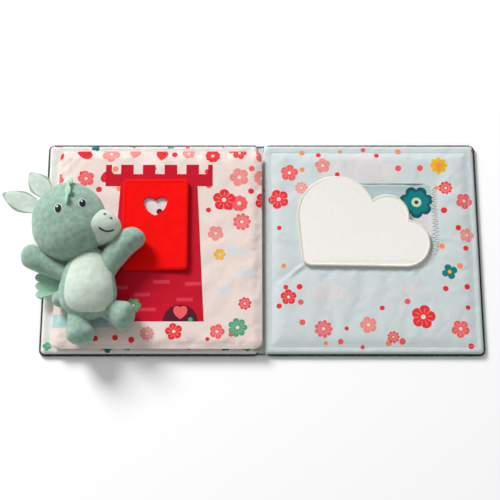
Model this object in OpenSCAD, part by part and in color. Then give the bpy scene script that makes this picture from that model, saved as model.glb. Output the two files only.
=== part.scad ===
// Cloth activity book, lying open: two padded covers joined by a spine cloth, one padded leaf with a
// felt door, a felt cloud flap over a window in the back cover, and a plush dragon lying on the leaf.
// X runs along the open book, +Y to the top of the pages, +Z up. The origin is on the table under the
// middle of the spine.

/* [Covers] */
// Width of one cover, edging included
cover_w = 214; // [190:1:240]
// Height of a cover, edging included
cover_h = 220; // [200:1:240]
// Thickness of a padded cover in its middle
cover_t = 8; // [6:0.5:12]
// Thickness of a cover where its edge is sewn
cover_edge_t = 3; // [2.5:0.25:4]
// Corner radius of a cover
cover_r = 6; // [4:0.5:12]
// Width of the sewn rim outside the padding
rim_w = 7.5; // [5:0.5:10]
// Width over which the padding rises from the rim
rise_w = 10; // [6:1:14]
// Share of the padding's height that is reached at the rim's inner side
rim_share = 0.65; // [0.3:0.05:0.8]
// Width of the spine cloth between the covers
spine_w = 8; // [6:0.5:14]
// Thickness of the spine cloth
spine_t = 2.4; // [1.5:0.1:3]
// Running gap between the spine cloth and the cover that folds over
fold_gap = 0.4; // [0.3:0.1:1]

/* [Edging] */
// Width of the overlocked thread edging
edging_w = 1.6; // [1.2:0.1:2.4]
// Height of the overlocked thread edging
edging_h = 3; // [2.6:0.1:4]
// Height of the edging's underside above the table
edging_up = 0.2; // [0:0.1:0.5]

/* [Leaf] */
// Width of the padded leaf
leaf_w = 204.5; // [180:0.5:206]
// Height of the padded leaf
leaf_h = 204.5; // [180:0.5:212]
// Thickness of the padded leaf
leaf_t = 6; // [4:0.5:9]
// Corner radius of the leaf
leaf_r = 7; // [5:0.5:12]
// How far the leaf's middle lies below the middle of the cover
leaf_drop = 2.2; // [0:0.1:4]
// Width over which the leaf's face rounds down to its edge
leaf_round = 9; // [6:1:14]
// Thickness of the hem that sews the leaf to the spine cloth
hem_t = 1.2; // [0.8:0.1:1.6]
// How far the leaf's underside lies in from its outline
leaf_under = 2.2; // [1:0.1:4]

/* [Door flap] */
// Width of the felt door
door_w = 66; // [50:1:80]
// Height of the felt door
door_h = 95; // [70:1:110]
// Thickness of the felt
door_t = 2.5; // [1.5:0.1:4]
// Corner radius of the door
door_r = 5; // [2:0.5:10]
// Distance from the leaf's gutter edge to the door's free edge
door_from_gutter = 73.5; // [40:0.5:90]
// Height of the door's middle above the leaf's middle
door_up = 22.8; // [0:0.1:40]
// How far the free edge of the door lifts off the leaf
door_lift = 2.2; // [0:0.1:3.5]
// Width of the heart-shaped peephole
heart_w = 23.6; // [16:0.1:30]
// Height of the peephole's middle above the door's middle
heart_up = 19.6; // [0:0.1:26]
// Radius of each of the heart's lobes
heart_lobe_r = 6.2; // [5:0.1:7.5]
// Radius of the heart's round foot
heart_foot_r = 7.8; // [5:0.1:9]
// How far the middle of the foot lies below the lobes
heart_foot_down = 5.5; // [4:0.1:9]

/* [Cloud flap] */
// Thickness of the cloud's felt
cloud_t = 2.5; // [1.5:0.1:4]
// Width of the cream edging round the cloud
cloud_edging_w = 1.5; // [1:0.1:3]
// How far the edging stands above the felt
cloud_edging_up = 0.4; // [0.2:0.1:1]
// How far the cloud's top lifts off the page
cloud_lift = 3.2; // [0:0.1:3.8]
// Radius of the cloud's large lobe
lobe_r = 39.5; // [34:0.5:44]
// Distance from the gutter side of the cover's cloth to the cloud
cloud_from_gutter = 31.6; // [20:0.5:40]
// Height of the large lobe's middle above the middle of the cover
cloud_up = 32.5; // [20:0.5:40]
// Radius of the cloud's middle lobe
middle_lobe_r = 22; // [18:0.5:26]
// Middle of that lobe, from the middle of the large one
middle_lobe_at = [50.5, -1.5]; // [-5:0.5:55]
// Radius of the cloud's right-hand lobe
right_lobe_r = 24.5; // [20:0.5:28]
// Middle of that lobe, from the middle of the large one
right_lobe_at = [68, -29.5]; // [-33:0.5:70]
// Radius of the cloud's lower left corner
cloud_corner_r = 10; // [6:0.5:14]
// Middle of that corner, from the middle of the large lobe
cloud_corner_at = [-25.5, -42.5]; // [-46:0.5:-22]
// Height of the lower band that is sewn flat to the page
cloud_seam_h = 11; // [6:0.5:20]

/* [Window] */
// Width of the window under the cloud
window_w = 85; // [70:1:95]
// Height of the window
window_h = 74; // [60:1:80]
// Corner radius of the window
window_r = 9; // [5:1:14]
// Depth of the window in the padded cover
window_depth = 2; // [1:0.1:3]
// Thickness of the cloth at the back of the window
window_cloth_t = 0.8; // [0.4:0.1:1]
// Distance from the large lobe's middle to the window's right edge
window_right = 97.5; // [90:0.5:105]
// Height of the window's middle above the middle of the cover
window_up = 29; // [20:0.5:40]

/* [Plush body] */
// Place of the plush's body along the book, from the leaf's gutter edge
plush_from_gutter = 169; // [150:1:180]
// Place of the plush's body below the leaf's middle
plush_down = 47; // [30:1:60]
// Width of the body
body_w = 56; // [48:1:64]
// Length of the body
body_l = 62; // [54:1:70]
// Thickness of the body as it lies
body_t = 36; // [30:1:42]
// Width of the belly cloth
belly_w = 46; // [36:1:50]
// Length of the belly cloth
belly_l = 52; // [44:1:58]
// How far the belly cloth lies to the right of the body's middle
belly_right = 2; // [0:0.5:4]
// Thickness of the belly cloth and of the eyes
patch_t = 1.2; // [0.8:0.1:2]
// Gap between sewn pieces of the plush
seam_gap = 0.2; // [0.1:0.05:0.3]
// How much of a stuffed form is pressed flat where it lies
press = 2; // [1:0.25:4]

/* [Plush head] */
// Width of the head
head_w = 74; // [66:1:82]
// Length of the head from chin to crown
head_l = 79; // [70:1:86]
// Thickness of the head as it lies
head_t = 46; // [40:1:52]
// How far the head leans to the left of the body's middle
head_lean = 20; // [8:1:26]
// How far the chin lies over the shoulders
neck_overlap = 4; // [2:0.5:8]
// Width of the muzzle, most of which is inside the head
muzzle_w = 54; // [46:1:60]
// Length of the muzzle
muzzle_l = 38; // [30:1:44]
// Thickness of the muzzle
muzzle_t = 40; // [30:1:44]
// How far the middle of the muzzle lies to the right of the middle of the head
muzzle_out = 24; // [16:1:28]
// How far the middle of the muzzle lies below the middle of the head
muzzle_down = 5; // [0:1:14]
// Radius of an embroidered eye
eye_r = 4.8; // [3.5:0.1:6]
// Length of the near ear, from the head outwards
ear_l = 36; // [26:1:44]
// Length of the far ear, from the head outwards
far_ear_l = 28; // [20:1:40]
// Width of an ear
ear_w = 22; // [16:1:28]
// Radius of each scallop of the crest
crest_r = 6; // [4.5:0.5:8]
// Thickness of ears, wings and crest
felt_t = 3; // [2:0.5:4]

/* [Plush limbs] */
// Length of an arm, from inside the shoulder
arm_l = 60; // [50:1:66]
// Radius of an arm at the shoulder
arm_r = 9; // [7:0.5:11]
// Radius of an arm's paw
paw_r = 12; // [9:0.5:14]
// Length of a leg, from inside the hip
leg_l = 39; // [34:1:48]
// Radius of a leg at the hip
leg_r = 9.5; // [8:0.5:12]
// Radius of a foot
foot_r = 14.5; // [11:0.5:17]
// Length of the tail, from inside the body
tail_l = 22; // [16:1:30]
// Radius of the tail at the body
tail_r = 10; // [7:0.2:12]
// Radius of the tail's tip
tail_tip_r = 8; // [5:0.2:9]
// Length of a wing
wing_l = 31; // [24:1:36]
// Width of a wing at its scalloped end
wing_w = 26; // [20:1:30]
// Width of a wing at the body
wing_root_w = 14; // [10:1:18]
// How far the wings lie above the middle of the body
wing_up = 8; // [4:0.5:10]
// Place of the right shoulder inside the body, from its middle
shoulder = [12.3, 12.4]; // [6:0.1:18]
// Place of the right hip inside the body, from its middle
hip = [9, -17]; // [-24:0.5:14]
// Place of the tail's root inside the body, from its middle
tail_root = [-14, -5]; // [-20:0.5:0]

/* [Hidden] */
$fn = 48;

half_w = spine_w / 2 + cover_w;
rim_t = cover_edge_t + rim_share * (cover_t - cover_edge_t);
leaf_top = cover_t + leaf_t;
leaf_side = leaf_t / 2;
door_x = -door_from_gutter - door_w / 2;
door_y = door_up - leaf_drop;
lobe_x = spine_w / 2 + cloud_from_gutter + lobe_r;
lobe_y = cloud_up;
cloud_bottom = lobe_y + min(cloud_corner_at[1] - cloud_corner_r, right_lobe_at[1] - right_lobe_r);
window_x = lobe_x + window_right - window_w / 2;
plush_x = -plush_from_gutter;
plush_y = -plush_down - leaf_drop;
// The plush lies a seam's gap above the leaf, and its right paw on the door
lay_z = leaf_top + seam_gap;
door_lay_z = leaf_top + door_t + seam_gap;
body_rise = body_t / 2 + press;
body_z = lay_z + body_t - body_rise;
head_x = plush_x - head_lean;
head_y = plush_y + body_l / 2 + head_l / 2 - neck_overlap;
head_rise = head_t / 2 + press;
head_z = lay_z + head_t - head_rise;
// Places of the eyes on the head, as shares of its width and length
eye_left_at = [-0.1, 0.07];
eye_right_at = [0.21, 0.15];
// Turns on the page, counted from +X towards +Y
arm_left_turn = 153;
arm_right_turn = 50;
leg_left_turn = -80;
leg_right_turn = -25;
ear_left_turn = 157;
ear_right_turn = 129;
wing_turn = -4;
tail_turn = 195;
// Angles over the crown at which the crest starts and by which its scallops follow each other
crest_from = 8;
crest_step = 1.7 * crest_r / (head_l / 2) * 180 / PI;
// Where the wings are sewn to the body, as shares of its width to the left and right of its middle
wing_left_in = 0.4;
wing_right_in = 0.25;
// The right wing is folded in under the body, to this share of its size
wing_tuck = 0.45;
// Sections of the covers: the broken lower edge, and the least corner radius of any ring
edge_break = 0.6;
least_r = 1;
// How far a form that cuts another reaches past it
past = 1;

// One ring of points round a rounded rectangle, at one height
function ring(w, h, r, z, steps = 6) = [
    for (c = [0:3], i = [0:steps])
        let (a = c * 90 + i * 90 / steps, sx = (c == 0 || c == 3) ? 1 : -1, sy = c < 2 ? 1 : -1)
            [sx * (w / 2 - r) + r * cos(a), sy * (h / 2 - r) + r * sin(a), z]];

// A closed skin through rings that have as many points each
module skin(rings) {
    n = len(rings[0]);
    last = len(rings) - 1;
    points = [for (one = rings, p = one) p];
    sides = [for (k = [0:last - 1], i = [0:n - 1])
        let (a = k * n + i, b = k * n + (i + 1) % n)
            each [[a, a + n, b + n], [a, b + n, b]]];
    polyhedron(points = points,
        faces = concat([[for (i = [0:n - 1]) i]], sides, [[for (i = [n - 1:-1:0]) last * n + i]]));
}

// A padded panel: steps are pairs of how far in from the outline and how high
module padded_panel(w, h, r, steps) {
    skin([for (s = steps) ring(w - 2 * s[0], h - 2 * s[0], max(r - s[0], least_r), s[1])]);
}

// Heights across the sewn rim and up the rounded side of the padding
function cover_steps() = concat(
    [[edge_break, 0], [0, edge_break], [0, cover_edge_t]],
    [[rim_w * 0.2, rim_t * 0.75], [rim_w * 0.55, rim_t * 0.97], [rim_w, rim_t]],
    [for (a = [30:30:90]) [rim_w + rise_w * (1 - cos(a)), rim_t + (cover_t - rim_t) * sin(a)]]);

module rounded_rect(w, h, r) {
    square([w - 2 * r, h], center = true);
    square([w, h - 2 * r], center = true);
    for (x = [-1, 1], y = [-1, 1]) translate([x * (w / 2 - r), y * (h / 2 - r)]) circle(r);
}

// Section of the overlocked edging, standing outside the line x = 0
module edging_section() {
    translate([0, edging_up]) {
        for (z = [edging_w / 2, edging_h - edging_w / 2]) translate([edging_w / 2, z]) circle(edging_w / 2);
        translate([0, edging_w / 2]) square([edging_w, edging_h - edging_w]);
    }
}

// Edging round three sides of the right-hand cover, from x = from
module edging(from) {
    run_x = half_w - cover_r - from;
    run_y = cover_h - 2 * cover_r;
    inner_r = cover_r - edging_w;
    for (y = [-1, 1]) {
        translate([from, 0, 0]) mirror([0, y < 0 ? 1 : 0, 0])
            translate([0, cover_h / 2 - edging_w, 0]) rotate([90, 0, 90])
                linear_extrude(run_x) edging_section();
        mirror([0, y < 0 ? 1 : 0, 0]) translate([half_w - cover_r, cover_h / 2 - cover_r, 0])
            rotate_extrude(angle = 90) translate([inner_r, 0]) edging_section();
    }
    translate([half_w - edging_w, run_y / 2, 0]) rotate([90, 0, 0]) linear_extrude(run_y) edging_section();
}

module cover_block(from) {
    w = half_w - edging_w - from;
    translate([from + w / 2, 0, 0])
        padded_panel(w, cover_h - 2 * edging_w, cover_r - edging_w, cover_steps());
}

module front_cover() color("whitesmoke") mirror([1, 0, 0]) cover_block(spine_w / 2);

module front_cover_edging() color("darkslategray") mirror([1, 0, 0]) edging(-spine_w / 2);

module spine_cloth() color("lightsteelblue")
    translate([-spine_w / 2, -cover_h / 2 + edging_w, 0]) cube([spine_w, cover_h - 2 * edging_w, spine_t]);

module window_outline(inset = 0) translate([window_x, window_up])
    rounded_rect(window_w - 2 * inset, window_h - 2 * inset, window_r - inset);

module back_cover() color("lightblue") difference() {
    cover_block(spine_w / 2 + fold_gap);
    translate([0, 0, cover_t - window_depth]) linear_extrude(window_depth + past) window_outline();
}

module back_cover_edging() color("darkslategray") edging(spine_w / 2 + fold_gap);

module window_backing() color("paleturquoise")
    translate([0, 0, cover_t - window_depth]) linear_extrude(window_cloth_t) window_outline(seam_gap);

// Heights from the leaf's underside up its turned side and over its rounded face
function leaf_steps() = concat(
    [[leaf_under, 0], [leaf_under / 3, leaf_side * 0.4], [0, leaf_side]],
    [for (a = [22.5:22.5:90]) [leaf_round * (1 - cos(a)), leaf_side + (leaf_t - leaf_side) * sin(a)]]);

// The leaf: a turned pillow with its seam half way up the side, and the hem that holds it at the spine
module leaf() color("mistyrose") {
    hem_h = cover_t - spine_t;
    translate([-leaf_w / 2, -leaf_drop, cover_t]) padded_panel(leaf_w, leaf_h, leaf_r, leaf_steps());
    translate([-leaf_under - hem_t, -leaf_drop - leaf_h / 2 + leaf_r, spine_t])
        cube([hem_t, leaf_h - 2 * leaf_r, hem_h + leaf_side * 0.4]);
}

// A heart: each half is a hull from its lobe to the round foot that both share
module heart() for (side = [-1, 1]) hull() {
    translate([side * (heart_w / 2 - heart_lobe_r), 0]) circle(heart_lobe_r);
    translate([0, -heart_foot_down]) circle(heart_foot_r);
}

// A sheet of felt that lies flat and then lifts towards one side, seen along the lift
module lifting_strip(from, to, bend_from, z, t, lift, steps = 12) {
    xs = [for (i = [0:steps]) bend_from + (to - bend_from) * i / steps];
    low = [for (x = xs) [x, z + lift * pow((x - bend_from) / (to - bend_from), 2)]];
    polygon(concat([[from, z]], low, [for (i = [steps:-1:0]) low[i] + [0, t]], [[from, z + t]]));
}

module door_flap() color("red") intersection() {
    translate([door_x, door_y, 0]) linear_extrude(leaf_top + door_t + door_lift + past) difference() {
        rounded_rect(door_w, door_h, door_r);
        translate([0, heart_up]) heart();
    }
    translate([door_x, door_y + door_h, 0]) rotate([90, 0, 0]) linear_extrude(2 * door_h)
        lifting_strip(-door_w, door_w / 2, -door_w * 0.1, leaf_top, door_t, door_lift);
}

// Outline of the cloud: three lobes that grow smaller, and a nearly straight sewn edge below
module cloud_outline(inset = 0) translate([lobe_x, lobe_y]) offset(r = -inset) {
    hull() {
        circle(lobe_r);
        translate(cloud_corner_at) circle(cloud_corner_r);
    }
    hull() {
        translate(cloud_corner_at) circle(cloud_corner_r);
        translate(right_lobe_at) circle(right_lobe_r);
    }
    translate(middle_lobe_at) circle(middle_lobe_r);
    polygon([[0, 0], cloud_corner_at, right_lobe_at, middle_lobe_at]);
}

// The cloud's felt seen from the side: sewn flat along its lower edge, lifting towards its top
module cloud_sheet(t) rotate([90, 0, 90]) linear_extrude(half_w)
    lifting_strip(cloud_bottom - past, lobe_y + lobe_r, cloud_bottom + cloud_seam_h, cover_t, t, cloud_lift);

module cloud_flap() color("ivory") intersection() {
    linear_extrude(cover_t + cloud_t + cloud_lift + past) cloud_outline(cloud_edging_w);
    cloud_sheet(cloud_t);
}

module cloud_edging() color("cornsilk") intersection() {
    linear_extrude(cover_t + cloud_t + cloud_lift + past) difference() {
        cloud_outline();
        cloud_outline(cloud_edging_w);
    }
    cloud_sheet(cloud_t + cloud_edging_up);
}

// The plush is flat where it lies on the leaf
module above_leaf() intersection() {
    children();
    translate([-2 * half_w, -cover_h, lay_z]) cube([2 * half_w, 2 * cover_h, cover_h]);
}

// Stuffed head, a little longer than wide
module head_form(grow = 0) translate([head_x, head_y, head_z])
    scale([head_w / 2 + grow, head_l / 2 + grow, head_rise + grow]) sphere(1, $fn = 120);

// Stuffed body, pear-shaped and flattened, lying along Y with the hips towards -Y
module body_form(grow = 0) {
    around = 18;
    translate([plush_x, plush_y, body_z]) skin([for (a = [-85:17:85])
        let (r = cos(a) * (1 - 0.16 * sin(a)), rx = body_w / 2 * r + grow, rz = body_rise * r + grow)
            [for (i = [0:around - 1])
                let (turn = i * 360 / around)
                    [rx * sin(turn), (body_l / 2 + grow) * sin(a), rz * cos(turn)]]]);
}

// A stuffed limb along +Z: a straight tube that swells into a round end
module limb(length, root_r, end_r) rotate_extrude() polygon(concat(
    [[0, 0], [root_r, 0]],
    [for (a = [-40:13:90]) [end_r * cos(a), length - end_r + end_r * sin(a)]]));

// Lays a form that points along +Z on the page: its root from the body's middle, its height, its turn
module placed(root, z, turn)
    translate([plush_x + root[0], plush_y + root[1], z]) rotate([0, 90, turn]) children();

// What a limb, wing or tail is cut back to: the stuffed forms it is sewn to
module cut_at_seams() above_leaf() difference() {
    children();
    body_form(seam_gap);
    head_form(seam_gap);
}

module plush_head() color("darkseagreen") above_leaf() head_form();

// Muzzle: a rounded form along X that leaves the head at its right, so that the face is turned that way
module plush_muzzle() color("honeydew") difference() {
    around = 20;
    translate([head_x + muzzle_out, head_y - muzzle_down, lay_z + muzzle_t / 2]) skin([for (a = [-36:12:84])
        [for (i = [0:around - 1]) let (turn = i * 360 / around, r = cos(a) / 2)
            [muzzle_w / 2 * sin(a), muzzle_l * r * cos(turn), muzzle_t * r * sin(turn)]]]);
    head_form(seam_gap);
}

// A flat rounded ear whose root is cut to the head: its stations are shares of its length and width
module ear(turn, length) difference() {
    translate([head_x, head_y, head_z]) rotate(turn) hull()
        for (station = [[-0.1, 0.3], [0.42, 0.5], [0.82, 0.22]])
            translate([head_w / 2 + length * station[0], 0, 0])
                scale([1, 1, felt_t / ear_w]) sphere(ear_w * station[1], $fn = 18);
    head_form(seam_gap);
}

module plush_ear_left() color("darkseagreen") ear(ear_left_turn, ear_l);

module plush_ear_right() color("darkseagreen") ear(ear_right_turn, far_ear_l);

// Scalloped felt crest along the middle of the head, from the forehead over the crown
module plush_crest() color("honeydew") difference() {
    translate([head_x - felt_t / 2, head_y, head_z]) rotate([90, 0, 90]) linear_extrude(felt_t)
        for (k = [0:4]) let (a = crest_from + k * crest_step)
            translate([head_l / 2 * cos(a), head_rise * sin(a)]) circle(crest_r);
    head_form(seam_gap);
}

// Embroidered eye: a thin round patch that follows the head; at is its place on the head
module eye(at) difference() {
    surface = head_rise * sqrt(1 - pow(2 * at[0], 2) - pow(2 * at[1], 2));
    translate([head_x + at[0] * head_w, head_y + at[1] * head_l, head_z + surface - eye_r / 2])
        cylinder(r = eye_r, h = eye_r / 2 + patch_t);
    head_form(seam_gap);
}

module plush_eye_left() color("black") eye(eye_left_at);

module plush_eye_right() color("black") eye(eye_right_at);

module plush_body() color("darkseagreen") above_leaf() difference() {
    body_form();
    head_form(seam_gap);
}

// Belly cloth: a thin oval patch that follows the body
module plush_belly() color("honeydew") difference() {
    intersection() {
        body_form(patch_t + seam_gap);
        translate([plush_x + belly_right, plush_y - (body_l - belly_l) / 4, body_z])
            linear_extrude(body_t) scale([belly_w / 2, belly_l / 2]) circle(1);
    }
    body_form(seam_gap);
    head_form(seam_gap);
}

module plush_arm_left() color("darkseagreen") cut_at_seams()
    placed([-shoulder[0], shoulder[1]], lay_z + paw_r, arm_left_turn) limb(arm_l, arm_r, paw_r);

module plush_arm_right() color("darkseagreen") cut_at_seams()
    placed(shoulder, door_lay_z + paw_r, arm_right_turn) limb(arm_l, arm_r, paw_r);

module plush_leg_left() color("darkseagreen") cut_at_seams()
    placed([-hip[0], hip[1]], lay_z + foot_r - press / 2, leg_left_turn) limb(leg_l, leg_r, foot_r);

module plush_leg_right() color("darkseagreen") cut_at_seams()
    placed(hip, lay_z + foot_r - press / 2, leg_right_turn) limb(leg_l, leg_r, foot_r);

module plush_tail() color("darkseagreen") cut_at_seams()
    placed(tail_root, lay_z + tail_r, tail_turn) limb(tail_l, tail_r, tail_tip_r);

// Felt wing along +X with three scallops cut into its end
module wing(length, width) linear_extrude(felt_t) difference() {
    polygon([[0, -wing_root_w / 2], [0, wing_root_w / 2], [length, width / 2], [length, -width / 2]]);
    for (share = [-0.5, -1 / 6, 1 / 6, 0.5]) translate([length, share * width]) circle(width / 7);
}

module plush_wing_left() color("palegreen") cut_at_seams()
    translate([plush_x - wing_left_in * body_w, plush_y + wing_up, lay_z])
        rotate(180 - wing_turn) wing(wing_l, wing_w);

module plush_wing_right() color("palegreen") cut_at_seams()
    translate([plush_x + wing_right_in * body_w, plush_y + wing_up, lay_z])
        rotate(wing_turn) wing(wing_l * wing_tuck, wing_w * wing_tuck);

front_cover();
front_cover_edging();
spine_cloth();
back_cover();
back_cover_edging();
leaf();
door_flap();
window_backing();
cloud_flap();
cloud_edging();
plush_head();
plush_muzzle();
plush_ear_left();
plush_ear_right();
plush_crest();
plush_eye_left();
plush_eye_right();
plush_body();
plush_belly();
plush_arm_left();
plush_arm_right();
plush_leg_left();
plush_leg_right();
plush_wing_left();
plush_wing_right();
plush_tail();
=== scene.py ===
# %% [markdown]
# # A cloth activity book
# The book lies open: two padded covers, one padded leaf with a felt door, a felt cloud over a window
# and a small plush dragon. The frame holds every piece at its real size and place. This script gives
# each piece its cloth, its stitches and its print. Lengths are written in millimetres and turned into
# metres where a mesh is made, so that they read like a sewing pattern.

# %% Load the frame
import math
import bmesh
import bpy
import numpy as np
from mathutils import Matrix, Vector, noise
from mathutils.bvhtree import BVHTree


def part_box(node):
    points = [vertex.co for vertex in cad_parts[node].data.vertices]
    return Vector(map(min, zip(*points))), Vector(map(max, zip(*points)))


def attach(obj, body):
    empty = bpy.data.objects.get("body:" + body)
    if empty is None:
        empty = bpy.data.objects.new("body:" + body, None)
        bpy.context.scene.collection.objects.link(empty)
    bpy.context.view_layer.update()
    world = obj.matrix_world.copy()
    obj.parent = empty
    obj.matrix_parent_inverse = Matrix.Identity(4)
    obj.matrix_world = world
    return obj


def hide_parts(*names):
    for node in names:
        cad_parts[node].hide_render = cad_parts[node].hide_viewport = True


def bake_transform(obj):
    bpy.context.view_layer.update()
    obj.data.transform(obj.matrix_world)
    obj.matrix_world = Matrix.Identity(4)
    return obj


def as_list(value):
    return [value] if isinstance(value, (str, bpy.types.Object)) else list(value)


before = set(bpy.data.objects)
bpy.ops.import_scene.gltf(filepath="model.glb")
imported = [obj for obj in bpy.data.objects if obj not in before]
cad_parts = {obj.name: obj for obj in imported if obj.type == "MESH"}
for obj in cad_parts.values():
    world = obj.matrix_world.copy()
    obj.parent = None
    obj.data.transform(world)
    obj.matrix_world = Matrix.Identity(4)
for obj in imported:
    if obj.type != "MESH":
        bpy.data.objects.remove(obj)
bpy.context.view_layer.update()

MM = 0.001
FRONT, BACK = "front_side", "back_side"

# %% [markdown]
# ## Camera, floor and light
# The camera stands in front of the book and looks steeply down. Its place and lens were worked out from
# the corners of the covers. The light is one large soft lamp behind the book on the left, with an even
# sky, so that shadows are soft and fall forward. Both are kept at a level at which a colour renders as
# it is written.

# %% Camera
CAMERA_AT = (-11.92, -342.25, 1150.97)
CAMERA_ELEVATION = 73.5
CAMERA_LENS = 86.17
SENSOR = 36

camera_data = bpy.data.cameras.new("camera")
camera_data.lens = CAMERA_LENS
camera_data.sensor_width = SENSOR
camera = bpy.data.objects.new("camera", camera_data)
camera.location = [c * MM for c in CAMERA_AT]
camera.rotation_euler = (math.radians(90 - CAMERA_ELEVATION), 0, 0)
bpy.context.scene.collection.objects.link(camera)
bpy.context.scene.camera = camera
bpy.context.scene.view_settings.view_transform = "Standard"
print("camera looks down at", CAMERA_ELEVATION, "degrees")


# %% [markdown]
# ## Shader maths as Python expressions
# Prints, weaves and thread are sums on coordinates. They could be wired by hand, node by node, but a
# print of thirty motifs would be hundreds of links. `Value` wraps a socket, and Python's operators on
# it add Math nodes, so that `1 - mask` is a line of code. `Graph.node` adds every other node.

# %% Value, a socket that can be reckoned with
def srgb(r, g, b):
    """A colour as it looks on a screen, from 0 to 255, as the linear colour that nodes take."""
    linear = [c / 255 / 12.92 if c <= 10 else ((c / 255 + 0.055) / 1.055) ** 2.4 for c in (r, g, b)]
    return (*linear, 1)


class Value:
    """A socket of a node tree. Operators on it add Math nodes."""

    def __init__(self, graph, socket):
        self.graph, self.socket = graph, socket

    def math(self, operation, *others):
        inputs = dict(enumerate((self, *others)))
        return self.graph.node("ShaderNodeMath", {"operation": operation}, inputs)

    def swapped(self, operation, other):
        return self.graph.node("ShaderNodeMath", {"operation": operation}, {0: other, 1: self})

    def __add__(self, other): return self.math("ADD", other)
    def __sub__(self, other): return self.math("SUBTRACT", other)
    def __mul__(self, other): return self.math("MULTIPLY", other)
    def __truediv__(self, other): return self.math("DIVIDE", other)
    def __lt__(self, other): return self.math("LESS_THAN", other)
    def __gt__(self, other): return self.math("GREATER_THAN", other)
    def __rsub__(self, other): return self.swapped("SUBTRACT", other)
    def __rtruediv__(self, other): return self.swapped("DIVIDE", other)
    __radd__, __rmul__ = __add__, __mul__

    def most(self, other): return self.math("MAXIMUM", other)
    def size(self): return self.math("ABSOLUTE")
    def floor(self): return self.math("FLOOR")
    def cos(self): return self.math("COSINE")
    def sin(self): return self.math("SINE")

    def ease(self, low, high):
        """0 below low, 1 above high, and a smooth step between."""
        return self.graph.node("ShaderNodeMapRange", {"interpolation_type": "SMOOTHSTEP"},
                               {"Value": self, "From Min": low, "From Max": high})


print("operators of Value:", sum(name.startswith("__") for name in vars(Value)))


# %% Graph, a tree whose nodes come from one method
class Graph:
    """A node tree. One method adds any node."""

    def __init__(self, tree):
        self.tree = tree
        tree.nodes.clear()

    def node(self, kind, settings=None, inputs=None, out=0):
        made = self.tree.nodes.new(kind)
        for key, value in (settings or {}).items():
            if key == "stops":
                fill_ramp(made.color_ramp, value)
            else:
                setattr(made, key, value)
        for key, value in (inputs or {}).items():
            if isinstance(value, Value):
                self.tree.links.new(value.socket, made.inputs[key])
            else:
                made.inputs[key].default_value = value
        return Value(self, made.outputs[out]) if len(made.outputs) else None

    def mix(self, mask, below, above):
        """The colour below, with the colour above where the mask is 1."""
        return self.node("ShaderNodeMix", {"data_type": "RGBA"}, {0: mask, 6: below, 7: above}, 2)

    def point(self):
        """The point on the piece in millimetres, as a vector."""
        place = self.node("ShaderNodeTexCoord", out="Object")
        return self.node("ShaderNodeVectorMath", {"operation": "SCALE"}, {0: place, "Scale": 1 / MM})

    def split(self, vector):
        made = self.node("ShaderNodeSeparateXYZ", inputs={0: vector}).socket.node
        return [Value(self, out) for out in made.outputs]

    def join(self, x, y, z=0.0):
        return self.node("ShaderNodeCombineXYZ", inputs={0: x, 1: y, 2: z})

    def noise(self, vector, pitch, detail=2.0, rough=0.5):
        """Soft random values about 0.5 whose grains are pitch millimetres wide."""
        return self.node("ShaderNodeTexNoise", inputs={
            "Vector": vector, "Scale": 1 / pitch, "Detail": detail, "Roughness": rough})


def fill_ramp(ramp, stops):
    """Stops are pairs of place and colour. Colours are held until the next stop."""
    ramp.interpolation = "CONSTANT"
    while len(ramp.elements) < len(stops):
        ramp.elements.new(1)
    for element, (place, colour) in zip(ramp.elements, stops):
        element.position = place
        element.color = colour


print("helpers of Graph:", [name for name in vars(Graph) if not name.startswith("_")])

# %% [markdown]
# The floor is white paper. The camera sees it a little paler than it lights the book, which keeps the
# background white and the shadow on it. The sky is a plain world, brighter to the camera alone.

# %% Floor
FLOOR_HALF = 4
PAPER = srgb(252, 252, 252)
FLOOR_SEEN = (1.02, 1.02, 1.02, 1)


def make_floor():
    mesh = bpy.data.meshes.new("floor")
    corners = [(x * FLOOR_HALF, y * FLOOR_HALF, 0) for x, y in ((-1, -1), (1, -1), (1, 1), (-1, 1))]
    mesh.from_pydata(corners, [], [(0, 1, 2, 3)])
    floor = bpy.data.objects.new("floor", mesh)
    bpy.context.scene.collection.objects.link(floor)
    material = bpy.data.materials.new("floor_paper")
    material.use_nodes = True
    graph = Graph(material.node_tree)
    seen = graph.node("ShaderNodeLightPath", out="Is Camera Ray")
    colour = graph.mix(seen, PAPER, FLOOR_SEEN)
    surface = graph.node("ShaderNodeBsdfDiffuse", inputs={"Color": colour})
    graph.node("ShaderNodeOutputMaterial", inputs={"Surface": surface})
    mesh.materials.append(material)


make_floor()
print("floor:", 2 * FLOOR_HALF, "metres wide")

# %% Sky
SKY_LEVEL = 0.42


def make_sky():
    world = bpy.data.worlds.new("sky")
    world.use_nodes = True
    graph = Graph(world.node_tree)
    seen = graph.node("ShaderNodeLightPath", out="Is Camera Ray")
    level = seen * (1 - SKY_LEVEL) + SKY_LEVEL
    shine = graph.node("ShaderNodeBackground", inputs={"Color": (1, 1, 1, 1), "Strength": level})
    graph.node("ShaderNodeOutputWorld", inputs={"Surface": shine})
    bpy.context.scene.world = world


make_sky()
print("sky lights the book at", SKY_LEVEL)

# %% Lamp
LAMPS = {  # name: place in metres, width in metres, power in watts
    "window_light": ((-1.80, 2.30, 1.90), 1.15, 135.0),
}


def make_lamp(name, place, width, power):
    data = bpy.data.lights.new(name, "AREA")
    data.size, data.energy = width, power
    lamp = bpy.data.objects.new(name, data)
    lamp.location = place
    lamp.rotation_euler = Vector(place).to_track_quat("Z", "Y").to_euler()
    bpy.context.scene.collection.objects.link(lamp)


for name, (place, width, power) in LAMPS.items():
    make_lamp(name, place, width, power)
print("lamps:", list(LAMPS))


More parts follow.
